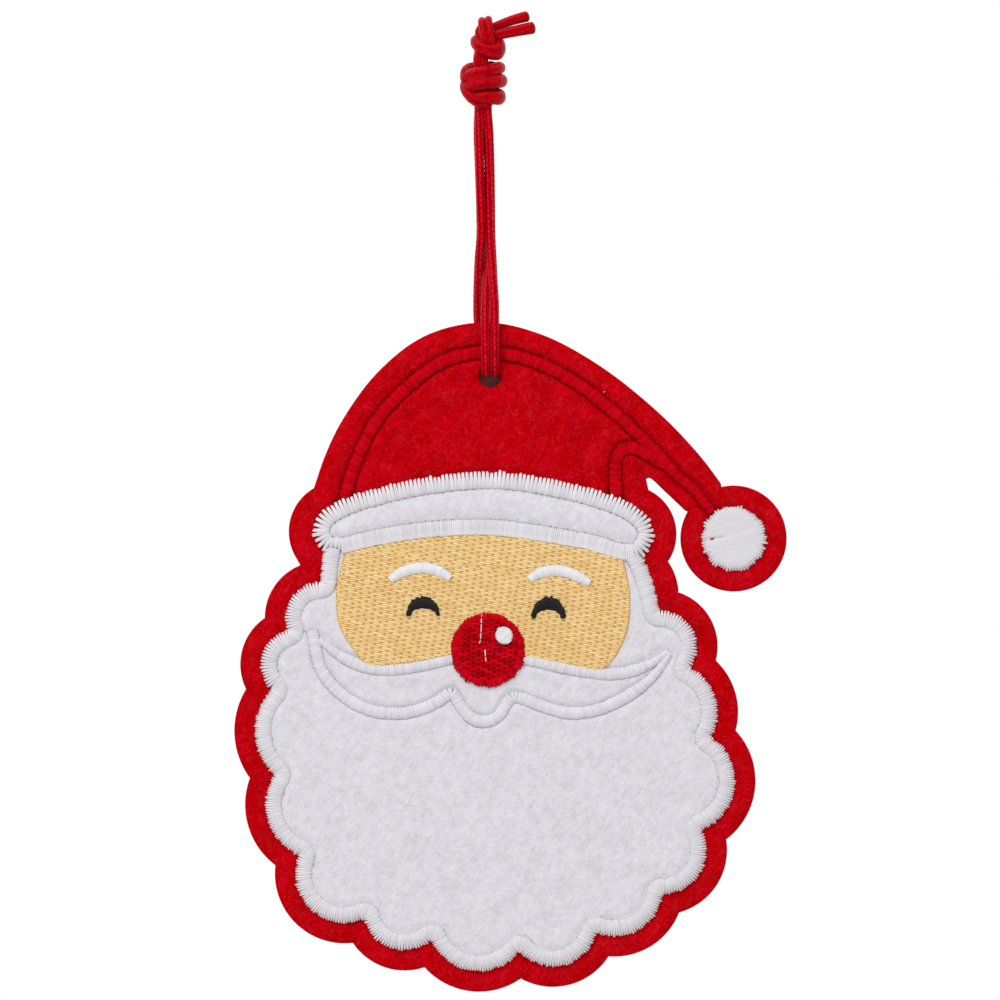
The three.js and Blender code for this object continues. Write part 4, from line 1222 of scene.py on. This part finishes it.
# Hat ridge and fold, red satin lying in the groove that it draws into the felt
hatSet = {
    "pitch": 0.62, "pinch": 0, "slant": 0.35, "wide": 0.16, "high": 0.17, "ragged": (0.12, 0.12),
    "rise": [(0, 0.95), (0.1, 1.3), (0.25, 1.6), (0.5, 1.8), (0.75, 1.6), (0.9, 1.3), (1, 0.95)],
    "ridgeTips": ((0, 0.2), 0.75), "foldTips": ((0, 0.25), 0.6), "pompomGap": 0.1, "ridgeGap": 0.2,
}
paths = satinPaths(*twinEdges(ridge, ridgeWidth, *hatSet["ridgeTips"]), hatSet)
clear = distanceTo(pompomAt, middles(paths)) > pompomRadius + hatSet["pompomGap"]
sew("hat_ridge", paths[clear & ~inside(middles(paths), trimOutline)], "hat", hatSet)
paths = satinPaths(*twinEdges(fold, ridgeWidth, *hatSet["foldTips"]), hatSet)
clear = lineDistance(middles(paths), ridge) > hatSet["ridgeGap"]
sew("hat_fold", paths[clear & ~inside(middles(paths), trimOutline)], "hat", hatSet)
print("satin borders and lines")

# Fills: shortest row and end stitch in mm, the most that a stitch dives, and where its points lie along
# the dive and along the flat between, as shares
fillSet = {
    "shortest": 0.4, "endGap": 0.5, "mostDive": 0.3,
    "dive": np.array([0, 0.4, 1]), "between": np.array([0.2, 0.5, 0.8]),
}
wholeRow = 1000.0  # stitch longer than any row


# Rows of stitches across a shape: parallel lines are cut by its outlines, inside by the even-odd
# rule, and cut again into stitches whose ends step along from row to row
def fillRows(outlines, fill):
    turn, pitch, stitch = fill["turn"], fill["pitch"], fill["stitch"]
    way, square = np.array([np.cos(turn), np.sin(turn)]), np.array([-np.sin(turn), np.cos(turn)])
    starts = np.vstack(outlines)
    ends = np.vstack([np.roll(outline, -1, 0) for outline in outlines])
    level0, level1 = starts @ square, ends @ square
    along0, along1 = starts @ way, ends @ way
    rows = []
    for number, level in enumerate(np.arange(level0.min() + pitch / 2, level0.max(), pitch)):
        cut = (level0 <= level) != (level1 <= level)
        share = (level - level0[cut]) / (level1[cut] - level0[cut])
        for start, end in np.sort(along0[cut] + share * (along1[cut] - along0[cut])).reshape(-1, 2):
            if end - start < fillSet["shortest"]:
                continue
            begin = stitch * (0.5 * (number % 2) + chance.normal(0, fill["loose"]))
            marks = begin + stitch * np.arange(
                math.floor((start - begin) / stitch) + 1, math.ceil((end - begin) / stitch)
            )
            marks = marks[(marks > start + fillSet["endGap"]) & (marks < end - fillSet["endGap"])]
            marks = np.concatenate([[start], marks, [end]])
            rows.append(np.column_stack([marks[:-1], marks[1:], np.full(len(marks) - 1, level)]))
    rows = np.vstack(rows)
    first = rows[:, :1] * way + rows[:, 2:] * square
    second = rows[:, 1:2] * way + rows[:, 2:] * square
    return first, second


# Height along a thread that dives: from deep to top as a quarter sine of the share of the dive
def divingHeight(fill, share):
    return fill["deep"] + (fill["top"] - fill["deep"]) * np.sin(np.clip(share, 0, 1) * np.pi / 2)


# Threads of a fill: flat on top, diving at both ends over a fixed reach
def fillPaths(first, second, fill):
    length = np.linalg.norm(second - first, axis=1)[:, None]
    edge = np.minimum(fill["dive"] / length, fillSet["mostDive"])
    middle = edge + (1 - 2 * edge) * fillSet["between"]
    share = np.concatenate([edge * fillSet["dive"], middle, 1 - edge * fillSet["dive"][::-1]], 1)
    height = divingHeight(fill, np.minimum(share, 1 - share) / edge)
    height = height + chance.normal(0, unevenSet["height"], length.shape)
    return raised(between(first, second, share), height)


# Face: slanting rows with staggered pits, over an underlay
faceSet = {
    "turn": math.radians(-10), "pitch": 0.45, "stitch": 2.9, "loose": 0.05, "wide": 0.23, "high": 0.14,
    "top": 2.8, "deep": 2.64, "dive": 0.55, "taper": [(0, 0.3), (0.2, 1), (0.8, 1), (1, 0.3)],
    "left": -28.6, "right": 26.6, "underNose": 0.4,
}
faceClothSet = {"top": 2.74, "under": 2.46, "spacing": 2.0, "roll": 0.1}
faceUpper = trimUnder[(trimUnder[:, 0] > faceSet["left"]) & (trimUnder[:, 0] < faceSet["right"])][::-1]
faceOutline = withoutRepeats(np.vstack([smoothLine(faceEdge, steps=8), faceUpper]))
noseCut = noseRadius - faceSet["underNose"]
first, second = fillRows([faceOutline, disc(noseAt, noseCut)], faceSet)
clear = distanceTo(noseAt, (first + second) / 2) > noseCut
paths = fillPaths(first[clear], second[clear], faceSet)
sew("face_fill", paths, "tan", faceSet)
# the underlay's darker tan is painted shade in the pits between the stitches
tanUnderlayShade = webMaterial("tanUnderlayShade", tint(212, 156, 68), tint(230, 180, 96), 1500.0)
flatCloth("faceUnderlay", faceOutline, faceClothSet, tanUnderlayShade, "ornament", "tan_thread")
print("face,", len(paths), "stitches")

# Brows: close white satin across a bent line, fullest in the middle
browSet = {
    "pitch": 0.42, "pinch": 0, "wide": 0.16, "high": 0.13, "ragged": (0.03, 0.03), "width": 2.35,
    "tips": ((0.2, 0.2), 0.65),
    "rise": [(0, 2.72), (0.12, 3.05), (0.3, 3.3), (0.5, 3.4), (0.7, 3.3), (0.88, 3.05), (1, 2.72)],
    "lines": {
        "brow_left": [(-19.6, -40.7), (-17, -39.1), (-13.2, -38.3), (-9.4, -39.2), (-7.6, -40.5)],
        "brow_right": [(8.2, -40.7), (9.7, -39.6), (13, -38.8), (16.6, -39.5), (20.2, -41.4)],
    },
}
for node, line in browSet["lines"].items():
    edges = twinEdges(smoothLine(line, steps=30), browSet["width"], *browSet["tips"])
    sew(node, satinPaths(*edges, browSet), "bright", browSet)

# Eyes: black satin from an outer half ellipse to a hollow, on two round feet
eyeSet = {
    "pitch": 0.46, "pinch": 0, "wide": 0.18, "high": 0.14, "ragged": (0.1, 0.03), "steps": 120,
    "rise": [(0, 2.75), (0.15, 3.1), (0.35, 3.32), (0.6, 3.36), (0.85, 3.1), (1, 2.75)],
    "footInset": 0.05, "footPitch": 0.16,
    "shapes": {
        "eye_left": {"at": (-13.1, -47.6), "half": 3.4, "arch": 3.6, "hollow": 1.15, "feet": (1.1, 0.75)},
        "eye_right": {"at": (12, -48.1), "half": 3.4, "arch": 4.1, "hollow": 1.35, "feet": (0.85, 1.1)},
    },
}


# Foot: chords of half a flat ellipse that hangs below the arch's base line
def footPaths(middle, radius):
    drop = np.arange(eyeSet["footInset"], radius - eyeSet["footInset"], eyeSet["footPitch"])
    half = np.sqrt(radius**2 - drop**2)
    first = middle + np.stack([-half, -drop / 2], 1)
    second = middle + np.stack([half, -drop / 2], 1)
    flat = between(first, second, np.linspace(0, 1, satinSteps))
    return raised(flat, profile(eyeSet["rise"], satinSteps))


angle = np.linspace(0, np.pi, eyeSet["steps"])
across = np.stack([np.cos(angle), np.sin(angle)], 1)
for node, shape in eyeSet["shapes"].items():
    centre, (left, right) = np.array(shape["at"]), shape["feet"]
    foot = left + (right - left) * (1 + np.cos(angle)) / 2
    outer = centre + across * np.array([shape["half"], shape["arch"]])
    hollow = centre + across * np.stack([shape["half"] - foot, np.full(len(foot), shape["hollow"])], 1)
    feet = [
        footPaths(centre + np.array([side * (shape["half"] - wide / 2), 0]), wide / 2)
        for side, wide in ((-1, left), (1, right))
    ]
    sew(node, np.vstack([satinPaths(outer, hollow, eyeSet), *feet]), "black", eyeSet)

# Nose: pitted rows inside a slanting satin rim, a white highlight, and the pale under-thread that
# shows in a broken line
noseSet = {
    "turn": math.radians(-3), "pitch": 0.45, "stitch": 2.1, "loose": 0.05, "wide": 0.24, "high": 0.18,
    "top": 3.2, "deep": 2.6, "dive": 0.4, "rimWidth": 1.6, "fillInset": 1.1, "clothInset": 0.5,
}
noseClothSet = {"top": 2.9, "under": 2.5, "spacing": 1.2, "roll": 0.3}
rimSet = {
    "pitch": 0.62, "pinch": 0.08, "slant": 0.45, "wide": 0.2, "high": 0.15, "ragged": (0.14, 0.1),
    "rise": [(0, 2.5), (0.15, 2.95), (0.4, 3.35), (0.7, 3.38), (1, 3.0)],
}
highlightSet = {
    "turn": math.radians(38), "pitch": 0.3, "stitch": wholeRow, "loose": 0, "wide": 0.19, "high": 0.16,
    "top": 3.72, "deep": 3.2, "dive": 0.5,
}
seamSet = {"top": 3.42, "deep": 3.2, "dive": 0.3, "wide": 0.1, "high": 0.09}
seam = np.array([
    ((-1.35, -47.6), (-1.45, -49.4)), ((-1.42, -49.5), (-1.5, -51.2)), ((-1.52, -51.3), (-1.6, -52.6)),
    ((-1.55, -52.8), (-1.9, -53.4)), ((-0.7, -54.6), (-0.62, -56.0)), ((-0.62, -56.1), (-0.5, -57.0)),
])
sew("nose_rim", satinPaths(*twinCircles(noseAt, noseRadius, noseSet["rimWidth"]), rimSet), "red", rimSet)
stitches = fillRows([disc(noseAt, noseRadius - noseSet["fillInset"])], noseSet)
sew("nose_fill", fillPaths(*stitches, noseSet), "red", noseSet)
# the underlay's darker red is painted shade in the pits between the rows
redUnderlayShade = webMaterial("redUnderlayShade", tint(140, 0, 8), tint(176, 0, 14), 1500.0)
noseCloth = disc(noseAt, noseRadius - noseSet["clothInset"])
flatCloth("noseUnderlay", noseCloth, noseClothSet, redUnderlayShade, "ornament", "red_thread")
stitches = fillRows([disc(highlightAt, highlightRadius)], highlightSet)
sew("nose_highlight", fillPaths(*stitches, highlightSet), "bright", highlightSet)
sew("nose_seam", fillPaths(seam[:, 0], seam[:, 1], seamSet), "bright", seamSet)
print("nose, brows and eyes")

# Pompom: a toothed ring, and long slanting threads over it, domed and creased across, on a pad
pompomSet = {
    "turn": math.radians(17), "pitch": 0.25, "stitch": wholeRow, "loose": 0, "wide": 0.24, "high": 0.12,
    "top": 1.95, "deep": 1.6, "dive": 0.6, "steps": 25, "inset": 0.5, "lift": 0.3, "ragged": 0.1,
    "dome": 0.4, "crease": np.array([(42.6, -32.8), (46.8, -32.2)]), "creaseDip": (0.3, 0, 0.35),
}
ringSet = {
    "pitch": 0.5, "pinch": 0.1, "wide": 0.18, "high": 0.12, "ragged": (0.18, 0.05), "taper": fingers,
    "rise": [(0, 1.4), (0.12, 1.62), (0.35, 1.85), (0.7, 1.95), (1, 1.9)], "width": 2.0,
}
markSet = {"top": 2.2, "deep": 1.9, "dive": 0.3, "wide": 0.18, "high": 0.14}
mark = np.array([(44.2, -32.65), (45.1, -32.5)])
padSet = {"inset": 0.5, "spacing": 1.0, "top": 1.62, "under": 1.4, "roll": 0.3}


# Dome: half an ellipse over the disc, less a bell along the crease
def pompomDome(points):
    share = distanceTo(pompomAt, points) / pompomRadius
    crease = lineDistance(points.reshape(-1, 2), pompomSet["crease"]).reshape(share.shape)
    return pompomSet["dome"] * np.sqrt(np.clip(1 - share**2, 0, 1)) - bell(crease, *pompomSet["creaseDip"])


ringPaths = satinPaths(*twinCircles(pompomAt, pompomRadius, ringSet["width"]), ringSet)
filled = disc(pompomAt + np.array([0, pompomSet["lift"]]), pompomRadius - pompomSet["inset"])
first, second = fillRows([filled], pompomSet)
way = unit(second - first)
first = first + way * chance.normal(0, pompomSet["ragged"], (len(first), 1))
second = second + way * chance.normal(0, pompomSet["ragged"], (len(second), 1))
share = np.linspace(0, 1, pompomSet["steps"])
reach = np.minimum(share, 1 - share) * np.linalg.norm(second - first, axis=1)[:, None]
longPaths = raised(between(first, second, share), divingHeight(pompomSet, reach / pompomSet["dive"]))
for paths in (ringPaths, longPaths):
    paths[..., 2] += pompomDome(paths[..., :2])
sew("pompom_ring", ringPaths, "fluff", ringSet)
sew("pompom_fill", longPaths, "fluff", pompomSet)
sew("pompom_mark", fillPaths(mark[:1], mark[1:], markSet), "red", markSet)
pompomPad = feltSheet(
    "pompomPad", disc(pompomAt, pompomRadius - padSet["inset"]), padSet["spacing"],
    lambda points, gap: padSet["top"] + pompomDome(points), flatAt(padSet["under"]), padSet["roll"],
    whiteFelt,
)
dress(pompomPad, "ornament", "white_thread")

# Needle holes: short dark marks at uneven steps along the stitched edges, painted shade for the hollow of
# each hole
holeSet = {
    "step": 1.7, "uneven": (0.6, 1.4), "length": 0.3, "aside": 0.05, "endGap": 0.5,
    "wide": 0.09, "high": 0.05, "taper": [(0, 0.6), (0.5, 1), (1, 0.6)], "sides": 4,
    "borderGap": 0.12, "lineGap": 0.1, "noseGap": 0.3, "edgeGap": 2.6, "upperPoints": 40,
    "borderHeight": 2.3, "lineHeight": 2.18, "trimHeight": 2.45,
}
needleHoleShade = webMaterial("needleHoleShade", tint(140, 104, 114), tint(190, 140, 150), 3000.0)


# Marks of one length along a line at one height, at uneven steps and each a little aside
def holePaths(line, height):
    run = runningLength(line)
    count = int(run[-1] / holeSet["step"])
    at = np.cumsum(chance.uniform(*holeSet["uneven"], count) * holeSet["step"])
    at = at[at < run[-1] - holeSet["endGap"]]
    half = holeSet["length"] / 2
    first, second = (pointsAt(line, run, at + offset) for offset in (-half, half))
    aside = chance.normal(0, holeSet["aside"], (len(at), 1, 2))
    return raised(between(first, second, np.linspace(0, 1, 3)) + aside, height)


needleLine = scallops(borderWidth + holeSet["borderGap"])[holeSet["upperPoints"]:-holeSet["upperPoints"]]
marks = [holePaths(needleLine, holeSet["borderHeight"])]
for node, line in moustache.items():
    for edge in twinEdges(line, moustacheWidth + 2 * holeSet["lineGap"], moustacheSet["tips"][node]):
        marks.append(holePaths(edge, holeSet["lineHeight"]))
marks = np.vstack(marks)
spots = middles(marks)
clear = inside(spots, movedIn(beardOutline, holeSet["edgeGap"])) & ~inside(spots, faceOutline)
clear &= distanceTo(noseAt, spots) > noseRadius + holeSet["noseGap"]
marks = np.vstack([marks[clear], holePaths(innerEdge, holeSet["trimHeight"])])
needleMarks = threadPiece(
    "needleHoles", marks, needleHoleShade, holeSet["wide"], holeSet["high"], holeSet["taper"], holeSet["sides"],
)
dress(needleMarks, "ornament", "white_felt")

# Two specks of pale under-thread beside the hat's ridge, well inside the outline
speckSet = {"lift": 0.12, "depth": 0.2, "dive": 0.2, "wide": 0.07, "high": 0.06, "edgeGap": 9.0}
speckAt = np.array([(11.5, 3.6), (23.1, -3.2)])
speckHalf = np.array([0.16, 0.1])
speckSet["top"] = redTop(speckAt, np.full(2, speckSet["edgeGap"]))[:, None] + speckSet["lift"]
speckSet["deep"] = speckSet["top"] - speckSet["depth"]
sew("ridge_specks", fillPaths(speckAt - speckHalf, speckAt + speckHalf, speckSet), "white", speckSet)

# Loose fibres on the felt: thin arcs that lie on the surface and lift a little, mostly rising to the
# right
fibreSet = {
    "redFront": 3200, "redBack": 900, "white": 900, "tries": 3, "radius": 0.03, "sides": 3, "steps": 6,
    "length": (1.0, 4.0), "lean": 0.95, "spread": 0.7, "curl": 0.3, "lift": (0.01, 0.08), "above": 0.01,
    "redGap": 0.5, "whiteGap": 3.0, "lineGap": 1.5, "holeGap": 0.8, "pompomGap": 0.3,
}


# Spots at random over an outline's box, those inside it, up to a count
def scatter(count, outline):
    spots = chance.uniform(outline.min(0), outline.max(0), (count * fibreSet["tries"], 2))
    return spots[inside(spots, outline)][:count]


# Fibre: an arc of steady curl from a start point, its height a shallow bow over the felt
def fibrePaths(starts, surface):
    count, steps = len(starts), fibreSet["steps"]
    turn = chance.normal(fibreSet["lean"], fibreSet["spread"], (count, 1))
    curl = chance.normal(0, fibreSet["curl"], (count, 1))
    length = chance.uniform(*fibreSet["length"], (count, 1))
    share = np.linspace(0, 1, steps)[None]
    heading = turn + curl * length * share
    stretch = np.stack([np.cos(heading), np.sin(heading)], -1) * (length / (steps - 1))[..., None]
    flat = starts[:, None] + np.cumsum(stretch, 1)
    bow = chance.uniform(*fibreSet["lift"], (count, 1)) * 4 * share * (1 - share)
    return raised(flat, surface(flat.reshape(-1, 2)).reshape(count, steps) + fibreSet["above"] + bow)


# Fibres of a felt that lie wholly within its outline, a gap from the edge, outside other shapes and away
# from lines; facing is 1 on the front and -1 on the back, where the surface is given as its depth
def addFibres(name, count, outline, surface, gap, keepOut, lines, material, slot, facing=1):
    paths = fibrePaths(scatter(count, outline), surface)
    spots = paths[..., :2].reshape(-1, 2)
    fits = inside(spots, outline) & (lineDistance(spots, outline, True) > gap)
    for shape in keepOut:
        fits &= ~inside(spots, shape)
    if lines:
        fits &= nearestOf(spots, lines) > fibreSet["lineGap"]
    paths = paths[fits.reshape(paths.shape[:2]).all(1)] * np.array([1, 1, facing])
    radius = fibreSet["radius"]
    dress(threadPiece(name, paths, material, radius, radius, sides=fibreSet["sides"]), "ornament", slot)


# Distance from the red outline, none outside it
def redEdgeGap(points):
    return np.where(inside(points, feltOutline), lineDistance(points, feltOutline, True), 0)


redFibre = webMaterial("redFibre", tint(204, 10, 28), tint(232, 60, 78), 700.0)
whiteFibre = webMaterial("whiteFibre", tint(243, 242, 245), tint(252, 252, 253), 700.0)
beardWhole = np.vstack([beardOuter, trimUnder[::-1]])
aroundHole = disc(holeAt, holeRadius + fibreSet["holeGap"])
aroundPompom = disc(pompomAt, pompomRadius + fibreSet["pompomGap"])
addFibres(
    "redFibresFront", fibreSet["redFront"], feltOutline, lambda p: redTop(p, redEdgeGap(p)),
    fibreSet["redGap"], [beardWhole, trimOutline, aroundHole, aroundPompom], [], redFibre, "red_felt",
)
addFibres(
    "redFibresBack", fibreSet["redBack"], feltOutline, lambda p: -backTop(p, redEdgeGap(p)),
    fibreSet["redGap"], [aroundHole], [], redFibre, "red_felt", facing=-1,
)
addFibres(
    "whiteFibres", fibreSet["white"], beardOutline,
    lambda p: beardTop(p, lineDistance(p, beardOutline, True)), fibreSet["whiteGap"],
    [faceOutline, disc(noseAt, noseRadius)], list(moustache.values()), whiteFibre, "white_felt",
)
print("pompom, needle holes and loose fibres")

# Floor under the hanging ornament, clear of the camera's view
floorSet = {"height": -0.25, "half": 0.55, "colour": (0.9, 0.9, 0.9, 1)}
floorMaterial, shader = newMaterial("paleFloor", roughness=0.9)
shader.inputs["Base Color"].default_value = floorSet["colour"]
corners = floorSet["half"] * np.array([(-1, -1), (1, -1), (1, 1), (-1, 1)])
corners = np.column_stack([corners, np.full(4, floorSet["height"])])
floor = addMesh("floor", corners, [np.array([[0, 1, 2, 3]])], floorMaterial)
